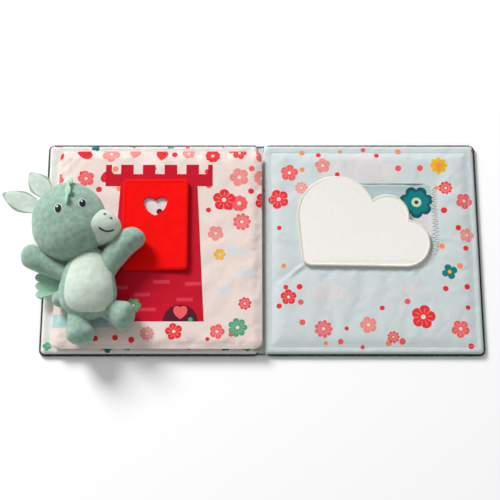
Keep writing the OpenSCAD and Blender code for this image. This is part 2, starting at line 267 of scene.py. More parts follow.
# %% [markdown]
# ## Cloth surfaces
# A finish is a colour, a roughness and a height that a Bump node turns into grain. Printed cotton has a
# fine plain weave. Felt is a mat of short fibres. Velour is a dense pile whose tips catch light at the
# edge, which sheen gives. Every finish reads the point on the piece itself, so the grain has the same
# scale on a small limb and on a large page, and no piece needs to be unwrapped.

# %% A cloth material
SHEEN = {"cotton": 0.10, "felt": 0.25, "velour": 0.55, "thread": 0.2}
SHINE = 0.15


def finish(name, colour, height, depth, rough=0.9, sheen=0.1, sheen_tint=(1, 1, 1, 1)):
    """A cloth material. colour and height are functions of the graph and the point in millimetres."""
    material = bpy.data.materials.new(name)
    material.use_nodes = True
    graph = Graph(material.node_tree)
    point = graph.point()
    bump = graph.node("ShaderNodeBump", inputs={
        "Height": height(graph, point), "Distance": depth * MM, "Strength": 1.0})
    surface = graph.node("ShaderNodeBsdfPrincipled", inputs={
        "Base Color": colour(graph, point), "Roughness": rough, "Normal": bump,
        "Sheen Weight": sheen, "Sheen Tint": sheen_tint, "Specular IOR Level": SHINE})
    graph.node("ShaderNodeOutputMaterial", inputs={"Surface": surface})
    return material


print("sheens:", SHEEN)


# %% Grain of cotton, felt and velour
WEAVE_PITCH = 0.42


def weave(graph, point):
    """Height of a plain weave: threads that pass over and under each other, with uneven yarn."""
    x, y, z = graph.split(point)
    over = (x * (math.tau / WEAVE_PITCH)).sin() * (y * (math.tau / WEAVE_PITCH)).sin()
    return over * 0.5 + graph.noise(point, 1.6, 3.0)


def felted(graph, point):
    """Height of felt: fine matted fibres over soft lumps."""
    return graph.noise(point, 0.5, 4.0, 0.7) + graph.noise(point, 3.0, 2.0) * 0.4


def pile(graph, point):
    """Height of velour: dense tufts, brushed into soft patches."""
    return graph.noise(point, 0.9, 4.0, 0.7) + graph.noise(point, 6.0, 3.0) * 1.3


print("weave pitch:", WEAVE_PITCH, "mm")


# %% A colour with soft patches
def plain(colour, spread=0.06, pitch=3.0):
    """A colour function with soft patches a little darker and lighter."""
    def paint(graph, point):
        patch = graph.noise(point, pitch, 3.0)
        dark = tuple(c * (1 - spread * 2) for c in colour[:3]) + (1,)
        light = tuple(min(1, c * (1 + spread)) for c in colour[:3]) + (1,)
        return graph.mix(patch.ease(0.3, 0.7), dark, light)
    return paint


print("srgb grey 128 as a node takes it:", round(srgb(128, 128, 128)[0], 3))


# %% [markdown]
# ## The prints
# The pages are printed with flowers, hearts, puffs and dots in reds, corals and teal. The print could
# be an image, but an image has one sharpness and has to be stored. Here a motif is the set of points
# for which a sum is small, so its rim is sharp at any distance. Small motifs are strewn: the page is
# cut into cells, each cell draws a random place, turn, size and colour, and a motif stays inside its
# cell.

# %% Colours of the print
RED, CORAL, SALMON = srgb(244, 48, 56), srgb(250, 98, 102), srgb(247, 146, 140)
ORANGE, CRIMSON, PLUM = srgb(253, 148, 98), srgb(208, 12, 42), srgb(92, 24, 44)
TEAL, DEEP_TEAL, GREEN = srgb(10, 128, 132), srgb(12, 92, 104), srgb(84, 172, 128)
YELLOW, MINT, BRICK = srgb(250, 188, 24), srgb(184, 216, 212), srgb(222, 62, 84)
PINK_GROUND, BLUE_GROUND = srgb(244, 226, 218), srgb(215, 225, 225)
# The window's ground is the page's blue painted darker, as painted shade in the recess under the cloud.
WINDOW_SHADED_BLUE, OUTER_GROUND = srgb(190, 209, 209), srgb(164, 202, 200)
WHITE_GROUND, PALE_PUFF, PALE_BLUE = srgb(232, 232, 228), srgb(228, 224, 225), srgb(228, 230, 230)
STREWN = ((0.0, RED), (0.27, CORAL), (0.55, SALMON), (0.83, srgb(236, 38, 52)))
DOTS = ((0.0, RED), (0.45, ORANGE), (0.8, CORAL))
print("colours of strewn motifs and dots:", len(STREWN) + len(DOTS))


# %% Motifs
class Motifs:
    """Shapes on a page, at places in millimetres. Each gives a mask that is 1 inside the shape."""

    def __init__(self, graph, x, y):
        self.graph, self.x, self.y = graph, x, y

    def at(self, place, turn=0.0, grow=1.0):
        """The same page seen from a place on it, turned by degrees and grown."""
        x, y = self.x - place[0], self.y - place[1]
        c, s = math.cos(math.radians(turn)) / grow, math.sin(math.radians(turn)) / grow
        return Motifs(self.graph, x * c + y * s, y * c - x * s)

    def far(self):
        return (self.x * self.x + self.y * self.y).math("SQRT")

    def disc(self, radius):
        return self.far() < radius

    def petals(self, radius, count, depth=0.3):
        """A flower with round petals and a notch between each two."""
        petal = (self.y.math("ARCTAN2", self.x) * (count / 2)).cos().size().math("POWER", 0.6)
        return self.far() < (petal * depth + (1 - depth)) * radius

    def veins(self, radius, count):
        """Fine lines along the petals."""
        turn = (self.y.math("ARCTAN2", self.x) * count).sin().size()
        far = self.far()
        return (turn * far < 0.42 * count) * (far > radius * 0.36) * (far < radius * 0.74)

    def heart(self, radius):
        x, y = self.x / radius, self.y / radius + 0.15
        core = x * x + y * y - 1
        return core * core * core < x * x * y * y * y

    def bar(self, width, height):
        return (self.x.size() - width / 2).most(self.y.size() - height / 2) < 0

    def hill(self, radius):
        """The upper half of a disc."""
        return self.disc(radius) * (self.y > 0)

    def cloud(self, radius):
        """A flat-footed puff of three discs."""
        lobes = self.at((-radius * 0.8, 0)).disc(radius * 0.62)
        lobes = lobes.most(self.disc(radius)).most(self.at((radius * 0.9, 0)).disc(radius * 0.55))
        return lobes * (self.y > -radius * 0.25)

    def strewn(self, cell, seed, radius):
        """The page seen from the middle of each cell, with four random numbers for that cell."""
        across, up = self.x / cell + seed * 7.3, self.y / cell + seed * 3.1
        column, row = across.floor(), up.floor()
        graph = self.graph
        draw = graph.node("ShaderNodeTexWhiteNoise", {"noise_dimensions": "3D"},
                          {"Vector": graph.join(column, row, float(seed))}, "Color")
        r, g, b = graph.split(draw)
        spare = (r * 91.7 + g * 47.3).math("FRACT")
        room = (0.5 - radius / cell) * 1.6
        x = (across - column - 0.5 - (r - 0.5) * room) * cell
        y = (up - row - 0.5 - (g - 0.5) * room) * cell
        grow = b * 0.4 + 0.62
        turn = spare * math.tau
        c, s = turn.cos() / grow, turn.sin() / grow
        centre_x = (column + 0.5 - seed * 7.3) * cell
        centre_y = (row + 0.5 - seed * 3.1) * cell
        return Motifs(graph, x * c + y * s, y * c - x * s), (r, g, b, spare), (centre_x, centre_y)


print("motifs:", [name for name in vars(Motifs) if not name.startswith("_")])


# %% Strewn flowers, hearts and dots
def strew(page, ground, cell, seed, radius, zone):
    """Flowers, hearts and buttons, one in some of the cells, where zone is 1."""
    graph = page.graph
    local, (r, g, b, spare), centre = page.strewn(cell, seed, radius)
    pick = (b * 37.1 + r).math("FRACT")
    there = zone(*centre) > spare
    flower = local.petals(radius, 5) * (pick < 0.5)
    heart = local.heart(radius * 0.78) * (pick > 0.5) * (pick < 0.78)
    button = local.petals(radius * 0.86, 9, 0.14) * (pick > 0.78)
    shape = flower.most(heart).most(button) * there
    colour = graph.node("ShaderNodeValToRGB", {"stops": STREWN}, {0: g})
    ground = graph.mix(shape, ground, colour)
    light = graph.mix(0.3, colour, PINK_GROUND)
    ground = graph.mix(local.veins(radius, 5) * flower * there, ground, light)
    return graph.mix(local.disc(radius * 0.2) * (flower.most(button)) * there, ground, PINK_GROUND)


def dots(page, ground, cell, seed, radius, zone):
    """Dots, one in some of the cells, where zone is 1."""
    local, (r, g, b, spare), centre = page.strewn(cell, seed, radius * 1.6)
    shape = local.disc(radius) * (zone(*centre) * 0.6 > spare)
    return page.graph.mix(shape, ground, page.graph.node("ShaderNodeValToRGB", {"stops": DOTS}, {0: g}))


print("strewn: flowers, hearts, buttons and dots")


# %% The tower and the flowers of the leaf
TOWER_LEFT, TOWER_RIGHT, TOWER_TOP, TOWER_FOOT = -150, -57, 66, -78
BRICKS = ((-140, -44), (-118, -51), (-99, -38), (-76, -56), (-112, -66), (-68, -40))
MERLON_PITCH = 22
LEAF_PUFFS = (((-30, -8), 1.0), ((-17, -30), 0.8), ((-38, -48), 0.7))  # place and growth
PUFF_R = 9
LEAF_FLOWERS = (  # place, radius, petals, turn, colour
    ((-38, 47), 11.5, 5, 15, RED), ((-20, 24), 9, 9, 0, CORAL), ((-46, 12), 8, 5, 50, SALMON),
    ((-24, -84), 9.5, 7, 0, GREEN), ((-44, -88), 7.5, 5, 70, CORAL), ((-86, -88), 8.5, 5, 30, RED),
    ((-112, -90), 7, 9, 0, SALMON), ((-17, -60), 6.5, 8, 10, RED), ((-42, -10), 6, 6, 0, YELLOW))
TOWER_FLOWERS = (((-126, -62), 7.5, 6, 0, GREEN),)


def flowers(page, ground, table):
    """Flowers at their places, with veins and a pale eye."""
    for place, radius, count, turn, colour in table:
        local = page.at(place, turn)
        shape = local.petals(radius, count)
        pale = tuple(0.7 * a + 0.3 * b for a, b in zip(colour, PINK_GROUND))
        ground = page.graph.mix(shape, ground, colour)
        ground = page.graph.mix(local.veins(radius, count), ground, pale)
        ground = page.graph.mix(local.disc(radius * 0.2), ground, PINK_GROUND)
    return ground


print("bricks:", len(BRICKS), "placed flowers:", len(LEAF_FLOWERS + TOWER_FLOWERS))


# %% [markdown]
# A print is painted like paper cut-outs, from the ground up: each mix lays one shape over what is
# there. The leaf has a crimson tower behind the felt door, and flowers round it.

# %% Print of the leaf
def leaf_print(graph, point):
    """Pink ground with strewn motifs, and a crimson tower with battlements in the middle."""
    x, y, z = graph.split(point)
    page = Motifs(graph, x, y)
    ground = PINK_GROUND
    for place, grow in LEAF_PUFFS:
        ground = graph.mix(page.at(place, 0, grow).cloud(PUFF_R), ground, PALE_BLUE)
    ground = dots(page, ground, 19, 14, 3.2,
                  lambda cx, cy: cy.ease(0, 60) + (1 - cy.ease(-96, -76)) * 0.8)
    ground = strew(page, ground, 26, 8, 10.0, lambda cx, cy: (  # cell, seed and radius
        (cy > 84) * 1.2 + (cy > 30) * ((cx + 103.5).size() > 66) * 0.8
        + (cx < -146) * (cy > -52) * 0.5))
    ground = flowers(page, ground, LEAF_FLOWERS)
    lean = (y - TOWER_FOOT) * 0.055
    tower = (x > lean + TOWER_LEFT) * (x < TOWER_RIGHT - lean) * (y > TOWER_FOOT) * (y < TOWER_TOP)
    ground = graph.mix(tower, ground, CRIMSON)
    merlons = (x * (math.tau / MERLON_PITCH) + 1.1).cos() > -0.25
    parapet = page.at((-103.5, 68)).bar(108, 13).most(page.at((-103.5, 79)).bar(108, 11) * merlons)
    ground = graph.mix(parapet, ground, CRIMSON)
    for place in BRICKS:
        ground = graph.mix(page.at(place).bar(16, 3.6), ground, BRICK)
    ground = graph.mix(page.at((-80, -78)).hill(17), ground, PLUM)
    ground = graph.mix(page.at((-80, -69)).heart(6), ground, CORAL)
    ground = graph.mix(page.at((-70, -76)).disc(2.2), ground, GREEN)
    ground = flowers(page, ground, TOWER_FLOWERS)
    ground = graph.mix((x < -150) * (y < -71) * (y > -84), ground, MINT)
    under_door = page.at(DOOR_MIDDLE).bar(DOOR_W - 6, DOOR_H - 6)
    ground = graph.mix(under_door, ground, PALE_PUFF)
    dark = page.at((DOOR_MIDDLE[0] + 4, DOOR_MIDDLE[1] + 14)).disc(3)
    return graph.mix(dark, ground, PLUM)


print("tower from", TOWER_FOOT, "to", TOWER_TOP, "mm up the page")


# %% [markdown]
# The page on the right is pale, with flowers only round its border. Dots are thinned out towards the
# middle by the distance from it, so the border needs no list of their places.

# %% Print of the back cover's page
PAGE_MIDDLE = (111, 0)
PAGE_FLOWERS = (
    ((28, 78), 9, 5, 10, CORAL), ((17, 50), 10.5, 5, 40, RED), ((40, 62), 6.5, 9, 0, SALMON),
    ((62, 86), 8, 5, 25, SALMON), ((204, 48), 8.5, 5, 60, CORAL), ((186, 62), 7, 9, 0, RED),
    ((205, 12), 7.5, 5, 0, SALMON), ((26, -52), 8, 5, 20, RED), ((60, -84), 9, 9, 0, CORAL),
    ((104, -80), 8.5, 5, 35, SALMON), ((158, -72), 12, 5, 5, RED), ((194, -84), 9, 5, 50, CORAL),
    ((128, -92), 6, 9, 0, RED))
PAGE_PUFFS = (((64, -50), 1.5, 10), ((152, -46), 1.0, 9), ((104, 76), 2.2, 11))  # place, growth, radius
DROP_PITCH = (13, 10)


def page_print(graph, point):
    """Pale blue ground with flowers round its border, pale puffs and drops, and a yellow flower."""
    x, y, z = graph.split(point)
    page = Motifs(graph, x, y)
    ground = BLUE_GROUND
    for place, grow, radius in PAGE_PUFFS:
        ground = graph.mix(page.at(place, 0, grow).cloud(radius), ground, PALE_PUFF)
    across, up = x / DROP_PITCH[0], y / DROP_PITCH[1]
    drop_x = (across.math("FRACT") - 0.5) * DROP_PITCH[0]
    drop_y = ((up + across.floor() * 0.37).math("FRACT") - 0.5) * DROP_PITCH[1]
    drops = (drop_x.size() < 1.1) * (drop_y.size() < 2.6) * (x > 82) * (x < 142) * (y > -72) * (y < -34)
    ground = graph.mix(drops, ground, PALE_PUFF)
    ground = dots(page, ground, 20, 5, 3.2, lambda cx, cy: (
        (cx - PAGE_MIDDLE[0]) / 92).size().most(((cy + 4) / 88).size()).ease(0.55, 0.8) * 0.8)
    ground = flowers(page, ground, PAGE_FLOWERS)
    ground = graph.mix(page.at((180, 86)).petals(9, 8, 0.35), ground, YELLOW)
    ground = graph.mix(page.at((180, 86)).disc(3), ground, ORANGE)
    ground = graph.mix(page.at((186, -26), 20).petals(8, 4, 0.5), ground, TEAL)
    return graph.mix(page.at((186, -26)).disc(2), ground, YELLOW)


print("placed flowers on the page:", len(PAGE_FLOWERS))


# %% Prints of the window, the front cover and the outside
def window_print(graph, point):
    """The cloth in the window: the page's blue painted darker for the shade in the recess under the
    cloud, and a large teal flower that the cloud half hides.
    """
    x, y, z = graph.split(point)
    page = Motifs(graph, x, y)
    ground = WINDOW_SHADED_BLUE
    ground = graph.mix(page.at((150, 26)).disc(24), ground, PALE_PUFF)
    flower = page.at((156, 47), 12)
    ground = graph.mix(flower.petals(17, 7, 0.25), ground, DEEP_TEAL)
    ground = graph.mix(flower.petals(13, 7, 0.25), ground, TEAL)
    ground = graph.mix(flower.disc(5), ground, srgb(196, 226, 196))
    return graph.mix(flower.disc(2), ground, PLUM)


SPRIGS = ((0.0, TEAL), (0.4, GREEN), (0.7, CORAL))
OUTER_CELL, OUTER_DOT = 11, 1.6


def cover_print(graph, point):
    """Off-white ground with small sprigs, as on the front cover's inner face."""
    x, y, z = graph.split(point)
    page = Motifs(graph, x, y)
    ground = WHITE_GROUND
    local, (r, g, b, spare), centre = page.strewn(19, 8, 6)
    shape = local.petals(6, 4, 0.4) * (spare < 0.5)
    tint = graph.node("ShaderNodeValToRGB", {"stops": SPRIGS}, {0: g})
    return graph.mix(shape, ground, tint)


def outer_print(graph, point):
    """Mint ground with white dots, for the outside of the covers."""
    x, y, z = graph.split(point)
    ground = OUTER_GROUND
    across, up = x / OUTER_CELL, y / OUTER_CELL
    local = Motifs(graph, ((across + up.floor() * 0.5).math("FRACT") - 0.5) * OUTER_CELL,
                   (up.math("FRACT") - 0.5) * OUTER_CELL)
    return graph.mix(local.disc(OUTER_DOT), ground, WHITE_GROUND)


print("dots on the outside every", OUTER_CELL, "mm")


# %% [markdown]
# ## Panels
# Every page is a panel: a grid of points whose corners are rounded by bending the grid, so that the
# threads of the grid run on round the corner. Its height is a rule on the distance from the outline,
# and to that comes what a cloth simulation finds: loose cloth held at its seams pulls into puckers.

# %% Reading sizes from the frame
def box_mm(node):
    """Lowest and highest corner of a node in millimetres."""
    low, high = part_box(node)
    return np.array(low) / MM, np.array(high) / MM


def size_mm(node):
    low, high = box_mm(node)
    return high - low


LEAF_LOW, LEAF_HIGH = box_mm("leaf")
BACK_LOW, BACK_HIGH = box_mm("back_cover")
FRONT_LOW, FRONT_HIGH = box_mm("front_cover")
DOOR_LOW, DOOR_HIGH = box_mm("door_flap")
CLOUD_LOW, CLOUD_HIGH = box_mm("cloud_edging")
WINDOW_LOW, WINDOW_HIGH = box_mm("window_backing")
DOOR_W, DOOR_H = DOOR_HIGH[0] - DOOR_LOW[0], DOOR_HIGH[1] - DOOR_LOW[1]
DOOR_MIDDLE = ((DOOR_LOW[0] + DOOR_HIGH[0]) / 2, (DOOR_LOW[1] + DOOR_HIGH[1]) / 2)
COVER_TOP, LEAF_TOP = BACK_HIGH[2], LEAF_HIGH[2]
print("cover top", COVER_TOP, "leaf top", LEAF_TOP, "door", DOOR_W, DOOR_H)


# %% Meshes from numbers
def add_mesh(name, points, faces, material=None, smooth=True):
    """An object from points in millimetres, with its place in its mesh."""
    mesh = bpy.data.meshes.new(name)
    mesh.from_pydata([tuple(p) for p in np.asarray(points, float) * MM], [], faces)
    mesh.validate()
    if smooth:
        mesh.shade_smooth()
    made = bpy.data.objects.new(name, mesh)
    bpy.context.scene.collection.objects.link(made)
    if material:
        mesh.materials.append(material)
    return made


def grid_faces(rows, columns, start=0, flip=False):
    faces = []
    for i in range(rows - 1):
        for j in range(columns - 1):
            a = start + i * columns + j
            face = (a, a + 1, a + columns + 1, a + columns)
            faces.append(face[::-1] if flip else face)
    return faces


def border(rows, columns):
    """Indices round the edge of a grid, counter-clockwise."""
    low = [j for j in range(columns)]
    right = [i * columns + columns - 1 for i in range(1, rows)]
    high = [(rows - 1) * columns + j for j in range(columns - 2, -1, -1)]
    left = [i * columns for i in range(rows - 2, 0, -1)]
    return low + right + high + left


print("3 by 4 points:", len(grid_faces(3, 4)), "faces,", len(border(3, 4)), "points at the edge")


# %% A panel with rounded corners
def stations(low, high, radius, step):
    """Places along a side, with a line of the grid at the start of each rounded corner."""
    corner = max(2, round(radius / step))
    middle = max(2, round((high - low - 2 * radius) / step))
    return np.concatenate([
        np.linspace(low, low + radius, corner + 1)[:-1],
        np.linspace(low + radius, high - radius, middle + 1)[:-1],
        np.linspace(high - radius, high, corner + 1)])


class Panel:
    """A rounded rectangle as a grid of points, with each point's distance from the outline."""

    def __init__(self, low, high, radius, step):
        xs, ys = stations(low[0], high[0], radius, step), stations(low[1], high[1], radius, step)
        x, y = np.meshgrid(xs, ys)
        middle = (np.array(low[:2]) + np.array(high[:2])) / 2
        half = (np.array(high[:2]) - np.array(low[:2])) / 2
        a = np.clip((np.abs(x - middle[0]) - half[0] + radius) / radius, 0, 1)
        b = np.clip((np.abs(y - middle[1]) - half[1] + radius) / radius, 0, 1)
        x += np.sign(x - middle[0]) * radius * a * (np.sqrt(1 - b * b / 2) - 1)
        y += np.sign(y - middle[1]) * radius * b * (np.sqrt(1 - a * a / 2) - 1)
        self.middle, self.half, self.radius = middle, half, radius
        self.lay(x, y)

    def lay(self, x, y):
        self.x, self.y, self.shape = x, y, x.shape
        qx = np.abs(x - self.middle[0]) - self.half[0] + self.radius
        qy = np.abs(y - self.middle[1]) - self.half[1] + self.radius
        outside = np.hypot(np.maximum(qx, 0), np.maximum(qy, 0))
        self.inside = np.maximum(self.radius - outside - np.minimum(np.maximum(qx, qy), 0), 0)

    def finer(self):
        """A new line of the grid between each two lines."""
        self.lay(doubled(self.x), doubled(self.y))

    def solid(self, name, top, bottom, material, under=None):
        """A closed mesh between two heights, with another cloth under it where one is given."""
        rows, columns = self.shape
        upper = np.dstack([self.x, self.y, top]).reshape(-1, 3)
        lower = np.dstack([self.x, self.y, bottom]).reshape(-1, 3)
        count = rows * columns
        faces = grid_faces(rows, columns) + grid_faces(rows, columns, count, flip=True)
        ring = border(rows, columns)
        for k, a in enumerate(ring):
            b = ring[(k + 1) % len(ring)]
            faces.append((b, a, a + count, b + count))
        made = add_mesh(name, np.vstack([upper, lower]), faces, material)
        if under:
            made.data.materials.append(under)
            top_faces = (rows - 1) * (columns - 1)
            for face in made.data.polygons[top_faces:]:
                face.material_index = 1
        return made


print("grid of a 100 mm panel at 4 mm:", Panel((0, 0), (100, 100), 5, 4).shape)


# %% Smooth steps and smooth fields
def ease(value, low, high):
    t = np.clip((value - low) / (high - low), 0, 1)
    return t * t * (3 - 2 * t)


def blurred(field, times):
    """The field smoothed by averaging each point with its neighbours."""
    for _ in range(times):
        for axis in (0, 1):
            ends = np.concatenate([np.take(field, [0], axis), field, np.take(field, [-1], axis)], axis)
            field = (np.take(ends, range(0, field.shape[axis]), axis) + 2 * field
                     + np.take(ends, range(2, field.shape[axis] + 2), axis)) / 4
    return field


def doubled(field):
    """The field on a grid with a new line between each two lines."""
    for axis in (0, 1):
        n = field.shape[axis]
        between = (np.take(field, range(n - 1), axis) + np.take(field, range(1, n), axis)) / 2
        shape = list(field.shape)
        shape[axis] = 2 * n - 1
        finer = np.zeros(shape)
        index = [slice(None), slice(None)]
        index[axis] = slice(0, None, 2)
        finer[tuple(index)] = field
        index[axis] = slice(1, None, 2)
        finer[tuple(index)] = between
        field = finer
    return field


print("half way up a smooth step:", float(ease(0.5, 0, 1)))


# %% [markdown]
# ## Puckers from a cloth simulation
# A page is a little more cloth than its seams leave room for. The simulation starts with a flat sheet,
# pins it along its seams, makes the cloth two hundredths larger and blows lightly from below. What
# rises is kept, without its broad dome, because wadding holds a page evenly thick.

# %% Simulated puckers
SIM_STEP = 3.2
SIM_FRAMES = 22
SIM_QUALITY, SIM_MASS, SIM_STIFFNESS, SIM_SHEAR, SIM_BENDING, SIM_DAMPING = 6, 0.2, 20, 8, 0.25, 4
DOME_BLUR = 24


def puckers(panel, pinned, loose, pressure, seed):
    """Heights in millimetres by which loose cloth rises and falls between its seams.

    loose is the share by which the cloth is longer than the page.
    """
    rows, columns = panel.shape
    start = np.random.default_rng(seed).normal(0, 0.12, panel.shape) * (1 - pinned)
    points = np.dstack([panel.x, panel.y, start]).reshape(-1, 3)
    sheet = add_mesh("loose_cloth", points, grid_faces(rows, columns))
    group = sheet.vertex_groups.new(name="seams")
    group.add([int(i) for i in np.flatnonzero(pinned.ravel() > 0.5)], 1.0, "REPLACE")
    cloth = sheet.modifiers.new("cloth", "CLOTH").settings
    cloth.quality = SIM_QUALITY
    cloth.mass = SIM_MASS
    cloth.tension_stiffness = cloth.compression_stiffness = SIM_STIFFNESS
    cloth.shear_stiffness = SIM_SHEAR
    cloth.bending_stiffness = SIM_BENDING
    cloth.vertex_group_mass = "seams"
    cloth.shrink_min = -loose
    cloth.use_pressure = True
    cloth.uniform_pressure_force = pressure
    cloth.effector_weights.gravity = 0
    cloth.air_damping = SIM_DAMPING
    scene = bpy.context.scene
    sheet.modifiers["cloth"].point_cache.frame_end = SIM_FRAMES
    for frame_number in range(1, SIM_FRAMES + 1):
        scene.frame_set(frame_number)
    done = sheet.evaluated_get(bpy.context.evaluated_depsgraph_get())
    found = np.zeros(rows * columns * 3)
    done.data.vertices.foreach_get("co", found)
    rise = found.reshape(rows, columns, 3)[:, :, 2] / MM
    scene.frame_set(1)
    bpy.data.objects.remove(sheet)
    broad = blurred(rise, DOME_BLUR)
    folds = rise - broad
    print("puckers rise", round(float(np.percentile(folds, 99)), 2), "mm")
    return folds


# %% [markdown]
# ## Stitches with Geometry Nodes
# Thread repeats along a path: loops that bind an edge, dashes of a topstitch, bars of satin stitch. One
# tree resamples the path at the stitch's pitch, sets a loop on each point, turned to the path and
# leaning a little, and makes the copies real. Its sizes are named inputs.

# %% A tree that sews
def add_input(tree, name, kind, value):
    made = tree.interface.new_socket(name=name, in_out="INPUT", socket_type=kind)
    if value is not None:
        made.default_value = value
    return made


def sewing_tree():
    """Path in, stitches out. Inputs: Pitch, Width, Height, Thread, Lean, Sway, Seed, Material."""
    tree = bpy.data.node_groups.new("sewing", "GeometryNodeTree")
    graph = Graph(tree)
    tree.interface.new_socket(name="Path", in_out="INPUT", socket_type="NodeSocketGeometry")
    for name, value in (("Pitch", 0.002), ("Width", 0.002), ("Height", 0.003), ("Thread", 0.0003),
                        ("Lean", 0.3), ("Sway", 0.05)):
        add_input(tree, name, "NodeSocketFloat", value)
    add_input(tree, "Seed", "NodeSocketInt", 1)
    add_input(tree, "Material", "NodeSocketMaterial", None)
    tree.interface.new_socket(name="Stitches", in_out="OUTPUT", socket_type="NodeSocketGeometry")
    given = tree.nodes.new("NodeGroupInput")
    take = {out.name: Value(graph, out) for out in given.outputs if out.name}
    path = graph.node("GeometryNodeMeshToCurve", inputs={"Mesh": take["Path"]})
    path = graph.node("GeometryNodeResampleCurve", {"mode": "LENGTH"},
                      {"Curve": path, "Length": take["Pitch"]})
    along = graph.split(graph.node("GeometryNodeInputTangent"))
    turn = along[1].math("ARCTAN2", along[0]) + math.pi / 2
    sway = graph.node("FunctionNodeRandomValue", {"data_type": "FLOAT"},
                      {2: take["Sway"] * -1, 3: take["Sway"], "Seed": take["Seed"]}, 1)
    row = graph.node("GeometryNodeInputIndex")
    side = (row * 0.5).math("FRACT") * 4 - 1
    lean = take["Lean"] * side.math("SIGN") + sway
    rotation = graph.join(math.pi / 2 + sway, 0.0, turn + lean)
    loop = graph.node("GeometryNodeCurvePrimitiveCircle", {"mode": "RADIUS"},
                      {"Resolution": 10, "Radius": 0.5})
    loop = graph.node("GeometryNodeTransform", inputs={
        "Geometry": loop, "Scale": graph.join(take["Width"], take["Height"], 1.0)})
    thread = graph.node("GeometryNodeCurvePrimitiveCircle", {"mode": "RADIUS"},
                        {"Resolution": 5, "Radius": take["Thread"]})
    loop = graph.node("GeometryNodeCurveToMesh", inputs={"Curve": loop, "Profile Curve": thread})
    sewn = graph.node("GeometryNodeInstanceOnPoints", inputs={
        "Points": path, "Instance": loop, "Rotation": rotation})
    sewn = graph.node("GeometryNodeRealizeInstances", inputs={"Geometry": sewn})
    sewn = graph.node("GeometryNodeSetMaterial",
                      inputs={"Geometry": sewn, "Material": take["Material"]})
    graph.node("NodeGroupOutput", inputs={0: sewn})
    return tree


SEWING = sewing_tree()
print("sewing tree:", len(SEWING.nodes), "nodes")


# %% Sewing along a path
def sew(name, points, material, closed=False, seed=1, **sizes):
    """Stitches along points in millimetres, as a plain mesh. sizes are the tree's inputs."""
    points = np.asarray(points, float)
    edges = [(k, k + 1) for k in range(len(points) - 1)]
    if closed:
        edges.append((len(points) - 1, 0))
    mesh = bpy.data.meshes.new(name + "_path")
    mesh.from_pydata([tuple(p) for p in points * MM], edges, [])
    path = bpy.data.objects.new(name + "_path", mesh)
    bpy.context.scene.collection.objects.link(path)
    modifier = path.modifiers.new("sewing", "NODES")
    modifier.node_group = SEWING
    wanted = {"Seed": seed, "Material": material, **sizes}
    for item in SEWING.interface.items_tree:
        if item.in_out == "INPUT" and item.name in wanted:
            modifier[item.identifier] = wanted[item.name]
    bpy.context.view_layer.update()
    done = path.evaluated_get(bpy.context.evaluated_depsgraph_get())
    sewn = bpy.data.meshes.new_from_object(done)
    bpy.data.objects.remove(path)
    sewn.name = name
    sewn.shade_smooth()
    made = bpy.data.objects.new(name, sewn)
    bpy.context.scene.collection.objects.link(made)
    print(name, len(sewn.polygons), "faces")
    return made


# %% [markdown]
# Thread lies on cloth that already has puckers, so its height can't be typed. A ray straight down finds
# the surface under each point of a path. Outlines are lists of points, the same for cloth and thread.

# %% Height of a surface under a point
def surface_of(*objects):
    """A function that gives the height in millimetres of the highest surface under a point."""
    trees = []
    for item in objects:
        points = [v.co for v in item.data.vertices]
        trees.append(BVHTree.FromPolygons(points, [p.vertices for p in item.data.polygons]))

    def height(x, y, otherwise=0.0):
        best = None
        for tree in trees:
            hit = tree.ray_cast(Vector((x * MM, y * MM, 1)), Vector((0, 0, -1)))[0]
            if hit is not None and (best is None or hit.z > best):
                best = hit.z
        return otherwise if best is None else best / MM
    return height


def rounded_outline(low, high, radius, inset=0.0, step=3.0):
    """Points counter-clockwise round a rounded rectangle, from the middle of its right side."""
    low, high = np.array(low[:2]) + inset, np.array(high[:2]) - inset
    radius = max(radius - inset, 0.4)
    corners = [(high[0] - radius, high[1] - radius, 0), (low[0] + radius, high[1] - radius, 90),
               (low[0] + radius, low[1] + radius, 180), (high[0] - radius, low[1] + radius, 270)]
    points = []
    for x, y, start in corners:
        for a in np.radians(np.linspace(start, start + 90, 9)):
            points.append((x + radius * math.cos(a), y + radius * math.sin(a)))
    points.append(points[0])
    dense = []
    for (x0, y0), (x1, y1) in zip(points, points[1:]):
        parts = max(1, round(math.hypot(x1 - x0, y1 - y0) / step))
        dense += [(x0 + (x1 - x0) * k / parts, y0 + (y1 - y0) * k / parts) for k in range(parts)]
    return np.array(dense)


print("points round a 100 mm square:", len(rounded_outline((0, 0), (100, 100), 5)))


# %% [markdown]
# ## The back cover
# The page on the right is the inner face of the back cover. Its rim is sewn flat, a topstitch runs
# inside it, and the wadding rises from there. The window is cut through the page, and the lower edge
# of the cloud pins the cloth, so puckers start at its ends.

# %% Height of a padded cover
EDGE_H, RIM_W, RIM_H, RISE_W = 3.0, 7.5, 6.2, 10.0
COVER_R = 4.4
EDGE_ROUND, GROOVE_DEPTH, GROOVE_W = 3.6, 0.14, 1.2
UNDER_TOP = 0.3  # the wadding stays this far under the top of the solid, which leaves room for folds


def cover_height(inside, top):
    """Height of a padded cover at a distance from its outline."""
    turned = 1 - np.clip(inside / EDGE_ROUND, 0, 1)
    rim = EDGE_H + (RIM_H - EDGE_H) * np.sqrt(np.clip(1 - turned ** 2, 0, 1))
    rise = (top - UNDER_TOP - RIM_H) * np.sin(np.clip((inside - RIM_W) / RISE_W, 0, 1) * math.pi / 2)
    return rim + rise - GROOVE_DEPTH * np.exp(-((inside - RIM_W) / GROOVE_W) ** 2)


def ripple(x, y, pitch, seed):
    """Smooth random heights from -1 to 1."""
    flat = [noise.noise(Vector((a / pitch, b / pitch, seed))) for a, b in zip(x.ravel(), y.ravel())]
    return np.array(flat).reshape(x.shape) * 1.6


print("cover height 20 mm inside its outline:", float(cover_height(20.0, COVER_TOP)))


# %% [markdown]
# The finishes come before the first page, because a page gets its cloth when it is made. Covers, leaf
# and window are the same cotton under different prints. Felts and threads are plain colours with the
# grain of matted fibres.

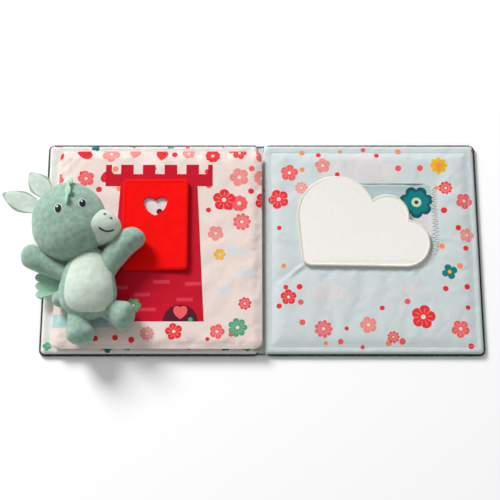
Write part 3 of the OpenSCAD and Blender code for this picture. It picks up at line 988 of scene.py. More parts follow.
# %% Cottons, felts and threads
COTTON = {"height": weave, "depth": 0.12, "sheen": SHEEN["cotton"]}
COTTON_LEAF = finish("leaf_cotton", leaf_print, **COTTON)
COTTON_PAGE = finish("page_cotton", page_print, **COTTON)
COTTON_WINDOW = finish("window_cotton", window_print, **COTTON)
COTTON_COVER = finish("cover_cotton", cover_print, **COTTON)
COTTON_OUTER = finish("outer_cotton", outer_print, **COTTON)
COTTON_SPINE = finish("spine_cotton", plain(BLUE_GROUND), **COTTON)
FELT_RED = finish("red_felt", plain(srgb(244, 6, 5), 0.03, 9.0), felted, depth=0.06, rough=0.95,
                  sheen=0.05, sheen_tint=srgb(255, 60, 50))
FELT_WHITE = finish("white_felt", plain(srgb(243, 240, 235), 0.012), felted, depth=0.14, rough=0.95,
                    sheen=SHEEN["felt"])


def thread(name, colour, spread, rough=0.8):
    """A thread's finish: fine fibres, in a colour with short patches."""
    return finish(name, plain(colour, spread, 1.0), felted, depth=0.1, rough=rough,
                  sheen=SHEEN["thread"])


THREAD_DARK = thread("edging_thread", srgb(38, 48, 44), 0.25, 0.75)
THREAD_CREAM = thread("cream_thread", srgb(255, 250, 234), 0.02)
THREAD_WHITE = thread("white_thread", srgb(244, 244, 242), 0.04)
THREAD_RED = thread("red_thread", srgb(206, 12, 14), 0.1)
THREAD_KHAKI = thread("khaki_thread", srgb(150, 146, 112), 0.1)
THREAD_BLUE = thread("page_thread", srgb(210, 223, 224), 0.05)
print("materials so far:", len(bpy.data.materials))

# %% [markdown]
# Some folds in a page are longer and straighter than a simulation of a flat sheet gives. They start at
# the ends of a seam that pulls the cloth together, so each is written down as a line that fades.

# %% Where the page folds
CLOUD_FOOT = CLOUD_LOW[1] + 1.6
CLOUD_FOOT_X = (CLOUD_LOW[0] + 7, CLOUD_HIGH[0] - 14)
GUTTER = 1.5
CREASES = (  # start, end, height and width of each fold that a seam pulls up
    ((44, -17), (16, -40), 1.3, 1.7), ((152, -20), (146, -36), 0.6, 2.2),
    ((180, -8), (202, -18), 0.3, 2.4), ((182, 66), (200, 82), 0.3, 2.6),
    ((60, -20), (57, -30), 0.3, 3.0), ((76, -20), (75, -31), 0.3, 3.0),
    ((92, -21), (92, -33), 0.4, 3.0), ((108, -21), (110, -30), 0.4, 3.0),
    ((124, -21), (126, -32), 0.5, 3.0), ((139, -21), (140, -29), 0.4, 2.6))


def creases(x, y):
    """Heights of the straight folds that a seam pulls up, which fade along their length."""
    rise = np.zeros(x.shape)
    for (x0, y0), (x1, y1), height, width in CREASES:
        length = math.hypot(x1 - x0, y1 - y0)
        along = ((x - x0) * (x1 - x0) + (y - y0) * (y1 - y0)) / length ** 2
        across = np.abs((x - x0) * (y1 - y0) - (y - y0) * (x1 - x0)) / length
        fade = ease(along, -0.1, 0.15) * (1 - ease(along, 0.3, 1.1))
        rise += height * np.exp(-(across / width) ** 2) * fade
    return rise


print("creases:", len(CREASES), "highest", float(creases(np.array([40.0]), np.array([-20.0]))[0]))


# %% Back cover
PAGE_FOLDS, PAGE_WAVE = 0.5, 0.2


def cover_bottom(panel):
    """Underside of a cover: flat, and turned up at its outline."""
    return 0.25 + 1.0 * (1 - ease(panel.inside, 0, 1.5))


def back_page():
    panel = Panel((GUTTER, BACK_LOW[1]), BACK_HIGH, COVER_R, SIM_STEP)
    seam = (np.abs(panel.inside - RIM_W) < SIM_STEP * 0.5) | (panel.inside < 0.1)
    foot = (np.abs(panel.y - CLOUD_FOOT) < SIM_STEP * 0.6)
    foot &= (panel.x > CLOUD_FOOT_X[0]) & (panel.x < CLOUD_FOOT_X[1])
    hem = (np.abs(panel.x - WINDOW_HIGH[0]) < SIM_STEP * 0.6)
    hem &= (panel.y > WINDOW_LOW[1]) & (panel.y < WINDOW_HIGH[1])
    pinned = (seam | foot | hem).astype(float)
    folds = puckers(panel, pinned, loose=0.016, pressure=1.2, seed=4)
    panel.finer()
    folds = blurred(doubled(folds), 1) * PAGE_FOLDS
    broad = ripple(panel.x, panel.y, 46, 2.5) * PAGE_WAVE * ease(panel.inside, 6, 22)
    top = cover_height(panel.inside, COVER_TOP) + folds + broad + creases(panel.x, panel.y)
    return panel.solid("back_cover", top, cover_bottom(panel), COTTON_PAGE, COTTON_OUTER)


back_cover = back_page()
print("back cover:", len(back_cover.data.polygons), "faces")


# %% [markdown]
# The front cover is made in the same way. The leaf lies on most of it, so only its rim shows, and its
# puckers fade out under the leaf, where they would push through.

# %% Front cover
def front_page():
    panel = Panel(FRONT_LOW, FRONT_HIGH, COVER_R, SIM_STEP)
    seam = (np.abs(panel.inside - RIM_W) < SIM_STEP * 0.5) | (panel.inside < 0.1)
    folds = puckers(panel, seam.astype(float), loose=0.012, pressure=0.8, seed=9)
    panel.finer()
    under_leaf = ease(panel.inside, 14, 20)
    folds = blurred(doubled(folds), 1) * (1 - under_leaf)
    top = cover_height(panel.inside, COVER_TOP) + folds - UNDER_TOP * under_leaf
    return panel.solid("front_cover", top, cover_bottom(panel), COTTON_COVER, COTTON_OUTER)


front_cover = front_page()
print("front cover:", len(front_cover.data.polygons), "faces")


# %% [markdown]
# ## The leaf
# The leaf is a turned pillow: two cloths sewn face to face and turned out, so its seam lies half way up
# the side and its edge is round. A box with a bevel would have flat sides, so its height is the arc of
# a circle near the outline, above and below the seam.

# %% Leaf shape
LEAF_R, LEAF_ROUND = 7.0, 9.0
LEAF_FOLDS_EDGE, LEAF_FOLDS_FADE, LEAF_WAVE = 1.1, 0.75, 0.3
LEAF_BOTTOM = COVER_TOP
LEAF_SEAM = (LEAF_BOTTOM + LEAF_TOP) / 2


def make_leaf():
    panel = Panel(LEAF_LOW, LEAF_HIGH, LEAF_R, SIM_STEP)
    folds = puckers(panel, (panel.inside < 0.1).astype(float), loose=0.02, pressure=1.2, seed=6)
    panel.finer()
    folds = blurred(doubled(folds), 1)
    side = np.clip(panel.inside / LEAF_ROUND, 0, 1)
    top = LEAF_SEAM + (LEAF_TOP - LEAF_SEAM - UNDER_TOP) * np.sqrt(1 - (1 - side) ** 2)
    strength = LEAF_FOLDS_EDGE - LEAF_FOLDS_FADE * ease(panel.inside, 3, 16)
    top += folds * strength * ease(panel.inside, 0, 4)
    top += ripple(panel.x, panel.y, 52, 7.5) * LEAF_WAVE * ease(panel.inside, 4, 20)
    under = np.clip(panel.inside / 3.0, 0, 1)
    bottom = LEAF_SEAM - (LEAF_SEAM - LEAF_BOTTOM - 0.15) * np.sqrt(1 - (1 - under) ** 2)
    return panel.solid("leaf", top, bottom, COTTON_LEAF)


leaf = make_leaf()
print("leaf:", len(leaf.data.polygons), "faces, seam at", LEAF_SEAM, "mm")


# %% [markdown]
# ## The red felt door
# The door is one sheet of dense felt with a heart cut through it. It is sewn to the leaf along its left
# side, and its free side lifts a little. The heart is cut with a Boolean while the felt is still flat,
# and the bend comes after it, so that the wall of the hole bends with the felt.

# %% Cutting and bending
def apply_modifiers(target):
    done = target.evaluated_get(bpy.context.evaluated_depsgraph_get())
    mesh = bpy.data.meshes.new_from_object(done)
    target.modifiers.clear()
    target.data = mesh


def cut_through(target, points, low, high, operation="DIFFERENCE"):
    """Cuts a prism with an outline of points out of the target, or keeps what is in it."""
    count = len(points)
    walls = [(x, y, z) for z in (low, high) for x, y in points]
    faces = [tuple(range(count))[::-1], tuple(range(count, 2 * count))]
    faces += [(k, (k + 1) % count, count + (k + 1) % count, count + k) for k in range(count)]
    cutter = add_mesh("cutter", walls, faces, smooth=False)
    cut = target.modifiers.new("cut", "BOOLEAN")
    cut.object, cut.operation, cut.solver = cutter, operation, "EXACT"
    apply_modifiers(target)
    bpy.data.objects.remove(cutter)


def heart_points(place, size, count=64):
    """A heart with broad lobes and a round foot."""
    points = []
    for t in np.linspace(0, math.tau, count, endpoint=False):
        blunt = 3 - 1.5 * float(ease(-math.cos(t), -0.1, 0.5))
        x = 16 * math.copysign(abs(math.sin(t)) ** blunt, math.sin(t))
        y = 13 * math.cos(t) - 5 * math.cos(2 * t) - 2 * math.cos(3 * t) - math.cos(4 * t) * 0.4
        points.append((place[0] - x * size / 32, place[1] + (y + 1.5) * size / 34))
    return points


def lifted(x, bend, free, lift):
    return lift * np.clip((x - bend) / (free - bend), 0, 1) ** 2


def move_points(target, rule):
    """Moves each vertex by a rule on arrays of x, y and z in millimetres."""
    mesh = target.data
    flat = np.zeros(len(mesh.vertices) * 3)
    mesh.vertices.foreach_get("co", flat)
    points = flat.reshape(-1, 3) / MM
    points[:] = np.column_stack(rule(points[:, 0], points[:, 1], points[:, 2]))
    mesh.vertices.foreach_set("co", (points * MM).ravel())
    mesh.update()


print("points of the heart:", len(heart_points((0, 0), 24)))

# %% Door
FELT_T, DOOR_R, DOOR_STEP = 2.5, 5.0, 1.5
DOOR_ROUND, DOOR_GROOVE, DOOR_GROOVE_W, DOOR_WAVE = 0.7, 0.28, 0.5, 0.25
DOOR_SEAM, DOOR_ABOVE = 2.6, 0.15
DOOR_LIFT = DOOR_HIGH[2] - LEAF_TOP - FELT_T
DOOR_BEND = DOOR_MIDDLE[0] - DOOR_W * 0.1
HEART_AT, HEART_W = (DOOR_MIDDLE[0], DOOR_MIDDLE[1] + 19.6), 23.6


def make_door():
    panel = Panel(DOOR_LOW, DOOR_HIGH, DOOR_R, DOOR_STEP)
    round_over = np.sqrt(1 - (1 - np.clip(panel.inside / DOOR_ROUND, 0, 1)) ** 2)
    groove = DOOR_GROOVE * np.exp(-((panel.inside - DOOR_SEAM) / DOOR_GROOVE_W) ** 2)
    top = LEAF_TOP + DOOR_ABOVE + FELT_T * (0.75 + 0.25 * round_over) - groove
    bottom = np.full(panel.shape, LEAF_TOP + DOOR_ABOVE)
    door = panel.solid("door_flap", top, bottom, FELT_RED)
    cut_through(door, heart_points(HEART_AT, HEART_W), LEAF_TOP - 5, LEAF_TOP + 10)

    def bend(x, y, z):
        wave = ripple(x, y, 30, 3.1) * DOOR_WAVE * ease(x, DOOR_LOW[0] + 8, DOOR_HIGH[0])
        return x, y, z + lifted(x, DOOR_BEND, DOOR_HIGH[0], DOOR_LIFT) + wave * 0.5 + 0.1
    move_points(door, bend)
    return door


door = make_door()
print("door:", len(door.data.polygons), "faces, lifts", round(float(DOOR_LIFT), 2), "mm")


# %% [markdown]
# ## The cloud and its window
# The cloud is white felt, bound with cream thread. Its outline runs round four lobes and the space
# between two pairs of them. Rays from a point inside find it: each ray stops at the last lobe that it
# leaves. One list of points then serves the felt, its edging and the stitches.

# %% Cloud outline
LOBES = (  # middle x and y, and radius
    (75.1, 32.5, 39.5), (49.6, -10.0, 10.0), (143.1, 3.0, 24.5), (125.6, 31.0, 22.0))
CLOUD_HULLS = ((0, 1), (1, 2))  # pairs of lobes, the space between them is filled
CLOUD_HEART = (98.0, 8.0)
CLOUD_EDGING_W = 1.5


def cloud_points(inset=0.0, count=240):
    angles = np.linspace(0, math.tau, count, endpoint=False)
    reach = np.arange(0, 110, 0.08)
    x = CLOUD_HEART[0] + reach[None, :] * np.cos(angles)[:, None]
    y = CLOUD_HEART[1] + reach[None, :] * np.sin(angles)[:, None]
    inside = np.zeros(x.shape, bool)
    for cx, cy, r in LOBES:
        inside |= np.hypot(x - cx, y - cy) < r - inset
    for a, b in CLOUD_HULLS:
        for t in np.linspace(0, 1, 24):
            cx, cy, r = (np.array(LOBES[a]) * (1 - t) + np.array(LOBES[b]) * t)
            inside |= np.hypot(x - cx, y - cy) < r - inset
    far = reach[inside.shape[1] - 1 - np.argmax(inside[:, ::-1], axis=1)]
    return np.array(CLOUD_HEART) + far[:, None] * np.column_stack([np.cos(angles), np.sin(angles)])


print("cloud from", cloud_points().min(axis=0).round(1), "to", cloud_points().max(axis=0).round(1))


# %% Cloud
CLOUD_T = 2.5
CLOUD_LIFT = CLOUD_HIGH[2] - COVER_TOP - CLOUD_T - 0.4
CLOUD_BEND = CLOUD_LOW[1] + 11
WINDOW_R, WINDOW_DEPTH = 9.0, 2.0


def cloud_rise(x, y):
    return CLOUD_LIFT * np.clip((y - CLOUD_BEND) / (CLOUD_HIGH[1] - CLOUD_BEND), 0, 1) ** 2


def make_cloud():
    low, high = np.array(CLOUD_LOW[:2]) - 4, np.array(CLOUD_HIGH[:2]) + 4
    panel = Panel(low, high, 3, 2.0)
    top = np.full(panel.shape, COVER_TOP + 0.1 + CLOUD_T)
    cloud = panel.solid("cloud_flap", top, top - CLOUD_T, FELT_WHITE)
    cut_through(cloud, cloud_points(0.5), COVER_TOP - 5, COVER_TOP + 12, "INTERSECT")

    def bend(x, y, z):
        press = 0.5 * np.exp(-((y - CLOUD_FOOT - 1.2) / 2.0) ** 2) * (z > COVER_TOP + 1)
        wave = ripple(x, y, 34, 5.5) * 0.25 * ease(y, CLOUD_BEND, 60)
        return x, y, z + cloud_rise(x, y) - press + wave
    move_points(cloud, bend)
    return cloud


cloud = make_cloud()
print("cloud", len(cloud.data.polygons), "faces")

# %% [markdown]
# The window is a hole in the padding with a printed cloth at its back. A Boolean cuts the hole out of
# the page, and a small panel behind it rises to the hem at its rim, so that no gap shows.

# %% Window
window_cut = rounded_outline(WINDOW_LOW, WINDOW_HIGH, WINDOW_R, -0.2)
cut_through(back_cover, window_cut, COVER_TOP - WINDOW_DEPTH, COVER_TOP + 6)
backing_panel = Panel(WINDOW_LOW - 0.5, WINDOW_HIGH + 0.5, WINDOW_R, 3.0)
backing_top = WINDOW_LOW[2] + 0.45 + ripple(backing_panel.x, backing_panel.y, 25, 8.1) * 0.2
backing_top += (COVER_TOP - WINDOW_LOW[2] - 1.0) * (1 - ease(backing_panel.inside, 0.8, 6.5))
window_backing = backing_panel.solid(
    "window_backing", backing_top, np.full(backing_panel.shape, WINDOW_LOW[2] + 0.05), COTTON_WINDOW)
print("back cover with its window:", len(back_cover.data.polygons), "faces")


# %% [markdown]
# ## Edging and seams
# An overlocked edge is a row of loops over the raw edge of the cloth. A twisted tube would look like it
# from afar, but its loops wouldn't stand out from the side, so the tree sews each one. Every seam has
# its own stitch: its sizes are written once and used for each path.

# %% Stitches of this book
def stitch(pitch, width, height, thread, lean, sway):
    """Sizes of a stitch, lengths in millimetres, angles in radians."""
    return {"Pitch": pitch * MM, "Width": width * MM, "Height": height * MM, "Thread": thread * MM,
            "Lean": lean, "Sway": sway}


OVERLOCK = stitch(1.25, 2.5, 3.0, 0.42, 0.16, 0.12)
CLOUD_LOCK = stitch(1.15, 2.3, 2.9, 0.34, 0.1, 0.1)
SPINE_LOCK = stitch(1.25, 1.5, 2.6, 0.36, 0.1, 0.06)
TOPSTITCH = stitch(2.9, 2.1, 0.5, 0.2, math.pi / 2, 0.05)
DOOR_STITCH = stitch(2.4, 1.8, 0.6, 0.22, math.pi / 2, 0.05)
SATIN = stitch(1.9, 5.2, 0.9, 0.46, 0.16, 0.05)
TUFT = stitch(0.8, 3.2, 3.6, 0.2, 0.5, 1.2)
SMILE_STITCH = stitch(0.5, 1.3, 0.8, 0.28, 0.1, 0.05)
print("topstitch:", TOPSTITCH)


# %% Edging of the covers and the cloud
def on_surface(points, height, above=0.0, otherwise=0.0):
    return [(x, y, height(x, y, otherwise) + above) for x, y in points]


def cover_path(side, inset):
    """Points round the three outer sides of a cover; side is 1 for the back and -1 for the front."""
    low, high = (BACK_LOW, BACK_HIGH) if side > 0 else (FRONT_LOW, FRONT_HIGH)
    outline = rounded_outline(low, high, COVER_R, inset, 2.0)
    gutter = BACK_LOW[0] if side > 0 else FRONT_HIGH[0]
    keep = [p for p in outline if abs(p[0] - gutter) > 0.6]
    start = max(range(len(keep)), key=lambda k: math.dist(keep[k], keep[k - 1]))
    return [(x, y) for x, y in keep[start:] + keep[:start]]


EDGE_Z = 1.9
edgings = {}
for body, side, node in ((FRONT, -1, "front_cover_edging"), (BACK, 1, "back_cover_edging")):
    path = [(x, y, EDGE_Z) for x, y in cover_path(side, -0.35)]
    edgings[node] = sew(node, path, THREAD_DARK, seed=side + 3, **OVERLOCK)

cloud_edge = cloud_points(CLOUD_EDGING_W * 0.5)
cloud_line = [(x, y, COVER_TOP + 1.5 + float(cloud_rise(x, y))) for x, y in cloud_edge]
cloud_edging = sew("cloud_edging", cloud_line, THREAD_CREAM, closed=True, seed=8, **CLOUD_LOCK)

# %% [markdown]
# The spine is a strip of cloth between the two covers. It is a panel too, and its ends are bound with
# the same thread as the covers, so that the edging runs on past the fold.

# %% Spine
spine_low, spine_high = box_mm("spine_cloth")
spine_panel = Panel(spine_low - [0.4, 0, 0], (GUTTER + 0.4, spine_high[1]), 0.5, 1.5)
spine = spine_panel.solid("spine_fabric", np.full(spine_panel.shape, spine_high[2]),
                          np.full(spine_panel.shape, 0.2), COTTON_SPINE, COTTON_OUTER)

spine_ends = []
for side in (-1, 1):
    y = side * (FRONT_HIGH[1] - 0.2)
    line = [(x, y, EDGE_Z) for x in np.linspace(FRONT_HIGH[0] + 0.6, GUTTER + 0.6, 8)]
    name = f"spine_edging_{'low' if side < 0 else 'high'}"
    spine_ends.append(sew(name, line, THREAD_DARK, seed=side + 6, **SPINE_LOCK))
print("spine is", round(float(spine_high[2]), 2), "mm thick")

# %% [markdown]
# A topstitch is a dashed line of thread a little inside an edge. The sewing tree makes it as well, with
# its loops turned along the path and nearly flat. The satin stitch beside the window is the same tree
# with wide bars side by side.

# %% Topstitches, satin stitches and a loose end
on_back, on_front, on_door = (surface_of(item) for item in (back_cover, front_cover, door))
page_line = rounded_outline((GUTTER, BACK_LOW[1]), BACK_HIGH, COVER_R, RIM_W, 2.0)
front_line = rounded_outline(FRONT_LOW, FRONT_HIGH, COVER_R, RIM_W, 2.0)
door_line = rounded_outline(DOOR_LOW, DOOR_HIGH, DOOR_R, 2.7, 1.5)
stitches = {}  # name: body and piece
for name, body, line, height, material, seed, sizes in (
        ("back_topstitch", BACK, page_line, on_back, THREAD_BLUE, 11, TOPSTITCH),
        ("front_topstitch", FRONT, front_line, on_front, THREAD_WHITE, 12, TOPSTITCH),
        ("door_topstitch", FRONT, door_line, on_door, THREAD_RED, 13, DOOR_STITCH)):
    path = on_surface(line, height, 0.05)
    stitches[name] = (body, sew(name, path, material, closed=True, seed=seed, **sizes))

satin = [(x, y) for x, y in rounded_outline(WINDOW_LOW, WINDOW_HIGH, WINDOW_R, -1.6, 1.0)
         if x > WINDOW_HIGH[0] - 3.5 and y < WINDOW_HIGH[1] - 4]
satin.sort(key=lambda place: place[1])
path = on_surface(satin, on_back, 0.1, COVER_TOP - 0.4)
stitches["window_satin"] = (BACK, sew("window_satin", path, THREAD_WHITE, seed=14, **SATIN))
tuft = [(x, LEAF_LOW[1] + 1.5 + 0.3 * x, LEAF_SEAM - 1.5) for x in np.linspace(-7, -2, 5)]
stitches["leaf_loose_end"] = (FRONT, sew("leaf_loose_end", tuft, THREAD_KHAKI, seed=15, **TUFT))

# %% [markdown]
# ## What moves with what
# The front side and the back side are two bodies on one hinge. Each piece rides on one of them, except
# the spine cloth and the thread at its ends, which cross the hinge and are attached to neither.


def dress(piece, node, body, slot):
    """The piece moves with a body and stands for a node, whose part is hidden. slot is not used."""
    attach(piece, body)
    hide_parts(node)


for piece, node, body, slot in (
        (front_cover, "front_cover", FRONT, "cover_cloth"),
        (edgings["front_cover_edging"], "front_cover_edging", FRONT, "edging_thread"),
        (back_cover, "back_cover", BACK, "page_cloth"),
        (edgings["back_cover_edging"], "back_cover_edging", BACK, "edging_thread"),
        (leaf, "leaf", FRONT, "leaf_cloth"),
        (door, "door_flap", FRONT, "red_felt"),
        (window_backing, "window_backing", BACK, "window_cloth"),
        (cloud, "cloud_flap", BACK, "white_felt"),
        (cloud_edging, "cloud_edging", BACK, "cream_thread")):
    if piece.name != node:  # the frame's own node has that name already
        piece.name = node + "_cloth"
    dress(piece, node, body, slot)
for piece in (spine, *spine_ends):
    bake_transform(piece)
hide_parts("spine_cloth")
for name, (body_name, piece) in stitches.items():
    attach(piece, body_name)
print("thread pieces:", sorted(stitches))

# %% [markdown]
# ## The plush dragon
# The dragon is sewn from short-pile velour and filled with wadding. It lies on its back with its head
# turned, so each part is a closed stuffed form that is pressed flat where it lies. Forms start as a
# cube that is blown up to a ball, which has no poles, or as rings along a bent line. A UV sphere would
# pinch at its poles, and the pinch shows on velour.

# %% Velour
SAGE, PALE_MINT, MINT_FELT = srgb(147, 177, 161), srgb(205, 219, 204), srgb(164, 206, 178)
VELOUR = finish("sage_velour", plain(SAGE, 0.085, 5.0), pile, depth=0.6, rough=1.0,
                sheen=SHEEN["velour"], sheen_tint=srgb(235, 248, 242))
VELOUR_PALE = finish("pale_velour", plain(PALE_MINT, 0.04, 5.0), pile, depth=0.45, rough=1.0, sheen=0.4)
FELT_MINT = finish("mint_felt", plain(MINT_FELT, 0.05), felted, depth=0.3, rough=0.95,
                   sheen=SHEEN["felt"])
THREAD_INK = thread("ink_thread", srgb(16, 24, 38), 0.1, 0.6)
print("materials:", len(bpy.data.materials))

# %% A cube blown up to a ball
HEAD_LOW, HEAD_HIGH = box_mm("plush_head")
BODY_LOW, BODY_HIGH = box_mm("plush_body")
LAY_Z = HEAD_LOW[2]
PRESS = 2.0


def ball(name, middle, half, material, cuts=22, rule=None):
    """A cube blown up to a ball of the given half sizes. rule shapes the unit ball's points first."""
    grid = np.tan(np.linspace(-1, 1, cuts + 1) * math.pi / 4)
    a, b = np.meshgrid(grid, grid)
    one = np.ones(a.shape)
    sides = [(a, b, one), (b, a, -one), (one, a, b), (-one, b, a), (b, one, a), (a, -one, b)]
    points, faces = [], []
    for x, y, z in sides:
        faces += grid_faces(cuts + 1, cuts + 1, len(points) * (cuts + 1) ** 2)
        points.append(np.dstack([x, y, z]).reshape(-1, 3))
    points = np.vstack(points)
    points /= np.linalg.norm(points, axis=1)[:, None]
    if rule:
        points = rule(points)
    points = points * np.array(half) + np.array(middle)
    form = add_mesh(name, points, faces, material)
    weld(form)
    return form


def weld(target):
    """Joins points that lie on each other and turns every face outwards."""
    work = bmesh.new()
    work.from_mesh(target.data)
    bmesh.ops.remove_doubles(work, verts=work.verts, dist=0.01 * MM)
    bmesh.ops.recalc_face_normals(work, faces=work.faces)
    work.to_mesh(target.data)
    work.free()
    target.data.shade_smooth()


print("head is", (HEAD_HIGH - HEAD_LOW).round(1), "mm, body", (BODY_HIGH - BODY_LOW).round(1))


# %% Rings along a bent line
def limb(name, root, tip, root_r, tip_r, material, bend=0.0, wide=1.0, rings=30, around=32):
    """A stuffed limb: rings along a bent line, swelling into a round end."""
    root, tip = np.array(root, float), np.array(tip, float)
    length = np.linalg.norm(tip - root)
    along = (tip - root) / length
    side = np.cross((0, 0, 1), along)
    side /= np.linalg.norm(side)
    up = np.cross(along, side)
    points = []
    for k in range(rings + 1):
        s = (1 - math.cos(math.pi * k / rings)) / 2
        radius = root_r + (tip_r - root_r) * float(ease(s, 0.25, 0.8))
        to_tip, to_root = (1 - s) * length / tip_r, s * length / (root_r * 0.6)
        for end in (to_tip, to_root):
            radius *= math.sqrt(max(0, 1 - max(0, 1 - end) ** 2))
        middle = root + (tip - root) * s + side * bend * 4 * s * (1 - s)
        spread = 1 + (wide - 1) * s
        for j in range(around):
            turn = j * math.tau / around
            across = side * spread * math.cos(turn) + up * math.sin(turn)
            points.append(middle + across * radius)
    faces = []
    for k in range(rings):
        for j in range(around):
            a, b = k * around + j, k * around + (j + 1) % around
            faces.append((a, b, b + around, a + around))
    form = add_mesh(name, points, faces, material)
    weld(form)
    return form


print("longest stuffed limb:", max(size_mm("plush_" + part).max().round(1) for part in (
    "arm_left", "arm_right", "leg_left", "leg_right", "tail")), "mm in a direction")


# %% Lumps, and flat where it lies
SOFT, STEEP = 3.0, 2.2


def settle(form, lumps=0.5, pitch=16, seed=1, floor=LAY_Z):
    """Gives a stuffed form soft lumps and presses it flat where it lies."""
    def rule(x, y, z):
        lump = np.array([noise.noise(Vector((a / pitch, b / pitch, c / pitch + seed)))
                         for a, b, c in zip(x, y, z)]) * lumps * 2
        middle = np.array([x.mean(), y.mean(), z.mean()])
        out = np.column_stack([x, y, z]) - middle
        out /= np.maximum(np.linalg.norm(out, axis=1), 1e-6)[:, None]
        x, y, z = x + out[:, 0] * lump, y + out[:, 1] * lump, z + out[:, 2] * lump
        z = floor + SOFT * np.logaddexp(0, (z - floor) / SOFT * STEEP) / STEEP
        return x, y, z
    move_points(form, rule)
    return form


print("plush lies at", LAY_Z, "mm, pressed by", PRESS, "mm")


# %% [markdown]
# Head and body come from the frame's boxes. A rule on the unit ball makes cheeks, hips and a neck
# before the ball gets its size, so that each form is still one smooth closed surface.

# %% Head and muzzle
HEAD = (HEAD_LOW + HEAD_HIGH) / 2
HEAD_HALF = (HEAD_HIGH - HEAD_LOW) / 2
HEAD_RISE = HEAD_HALF[2] + PRESS
HEAD_Z = HEAD_HIGH[2] - HEAD_RISE
MUZZLE_LOW, MUZZLE_HIGH = box_mm("plush_muzzle")
MUZZLE_HALF = (27.0, 19.0, 20.0)
MUZZLE = (MUZZLE_HIGH[0] - MUZZLE_HALF[0] + 0.3, (MUZZLE_LOW[1] + MUZZLE_HIGH[1]) / 2,
          LAY_Z + MUZZLE_HALF[2])


def head_rule(p):
    """Cheeks wider than the crown."""
    x, y, z = p.T
    return np.column_stack([x * (1 - 0.05 * y), y, z * (1 - 0.06 * y)])


head = ball("plush_head_stuffed", (HEAD[0], HEAD[1], HEAD_Z), (HEAD_HALF[0], HEAD_HALF[1], HEAD_RISE),
            VELOUR, 40, head_rule)
settle(head, 0.6, 20, 1)
muzzle = settle(ball("plush_muzzle_stuffed", MUZZLE, MUZZLE_HALF, VELOUR_PALE, 30), 0.4, 14, 2)
print("head", len(head.data.polygons), "faces, muzzle", len(muzzle.data.polygons))

# %% Body
BODY = (BODY_LOW + BODY_HIGH) / 2
BODY_HALF = (28.0, 31.0, 20.0)
BODY_Z = BODY_HIGH[2] - BODY_HALF[2]


def body_rule(p):
    """Hips wider than the shoulders, and a neck that runs on under the chin."""
    x, y, z = p.T
    return np.column_stack([x * (1 - 0.1 * y), y + 0.35 * ease(y, 0.2, 1), z * (1 - 0.1 * y)])


body = ball("plush_body_stuffed", (BODY[0], BODY[1], BODY_Z), BODY_HALF, VELOUR, 36, body_rule)
settle(body, 0.4, 15, 3)
print("body", len(body.data.polygons), "faces")


# %% [markdown]
# The belly, the eyes and the nostrils are patches sewn onto a form. A disc of rings is dropped onto the
# form, and each point takes the form's height there, so the patch follows every lump under it.

# %% A patch that follows a form
def patch(name, form, middle, half, rise, material, shape=None, rings=14, around=48):
    """A thin cloth patch that follows a form: a dome over an oval, with its rim turned down."""
    height = surface_of(form)
    points, faces = [(middle[0], middle[1], height(*middle) + rise)], []
    for k in range(1, rings + 1):
        share = k / rings
        for j in range(around):
            turn = j * math.tau / around
            x, y = share * math.cos(turn), share * math.sin(turn)
            if shape:
                x, y = shape(x, y)
            px, py = middle[0] + half[0] * x, middle[1] + half[1] * y
            down = rise * (1 - share ** 6) - 0.5 * (k == rings)
            points.append((px, py, height(px, py, LAY_Z) + down))
    for j in range(around):
        faces.append((0, 1 + j, 1 + (j + 1) % around))
    for k in range(rings - 1):
        for j in range(around):
            a, b = 1 + k * around + j, 1 + k * around + (j + 1) % around
            faces.append((a, a + around, b + around, b))
    last = 1 + (rings - 1) * around
    faces.append(tuple(range(last + around - 1, last - 1, -1)))
    return add_mesh(name, points, faces, material)


print("body's height at its middle:", round(surface_of(body)(BODY[0], BODY[1]), 1), "mm")


# %% Belly cloth
BELLY_AT, BELLY_HALF, PATCH_T = (-166.2, -45.5), (23.2, 31.0), 0.8
SQUARER, NARROWER = 2.8, 0.2


def bib(x, y):
    """A disc made squarer, and narrower at its top."""
    square = max((abs(x) ** SQUARER + abs(y) ** SQUARER) ** (1 / SQUARER), 1e-6)
    grow = math.hypot(x, y) / square
    return x * grow * (1 - NARROWER * y), y * grow


belly = patch("plush_belly_cloth", body, BELLY_AT, BELLY_HALF, PATCH_T, VELOUR_PALE, bib, 20, 72)
print("belly", len(belly.data.polygons), "faces")


# %% [markdown]
# Arms, legs and tail are one kind of form in five sizes, so they are rows of a table. The right arm
# lies on the felt door and the others on the leaf, and each is pressed flat on what carries it.

# %% Limbs and tail
LIMBS = {  # node: root, length, turn in degrees, height, radii at root and tip, bend, width of the tip
    "plush_arm_left": ((-181.3, -36.8), 60, 153, 26.2, 9.0, 12.0, 2.0, 1.0),
    "plush_arm_right": ((-156.7, -36.8), 60, 50, 28.9, 12.0, 12.5, 4.5, 1.0),
    "plush_leg_left": ((-178, -66.2), 39, -80, 27.7, 9.5, 14.0, -2.0, 1.08),
    "plush_leg_right": ((-160, -66.2), 39, -25, 27.7, 9.5, 14.0, 3.0, 1.08),
    "plush_tail": ((-183, -54.2), 22, 195, 24.2, 10.0, 8.0, 0.5, 1.0),
}
limbs = {}
for seed, (node, (root, length, turn, z, root_r, tip_r, bend, wide)) in enumerate(LIMBS.items()):
    c, s = math.cos(math.radians(turn)), math.sin(math.radians(turn))
    tip = (root[0] + length * c, root[1] + length * s, z)
    form = limb(node + "_stuffed", (*root, z), tip, root_r, tip_r, VELOUR, bend, wide)
    floor = LEAF_TOP + FELT_T + 0.4 if node == "plush_arm_right" else LAY_Z
    limbs[node] = settle(form, 0.5, 11, seed + 4, floor)
print("limbs:", list(limbs))


# %% [markdown]
# An ear is a flattened ball that a rule narrows to a point and cups at its root. A wing is a sheet of
# felt whose rows grow longer at three scallops. The crest is a row of discs set on edge over the crown
# and joined into one piece.

# %% Ears
EAR_WIDE, EAR_THICK, INNER_EDGE = 11, 2.0, 8.6


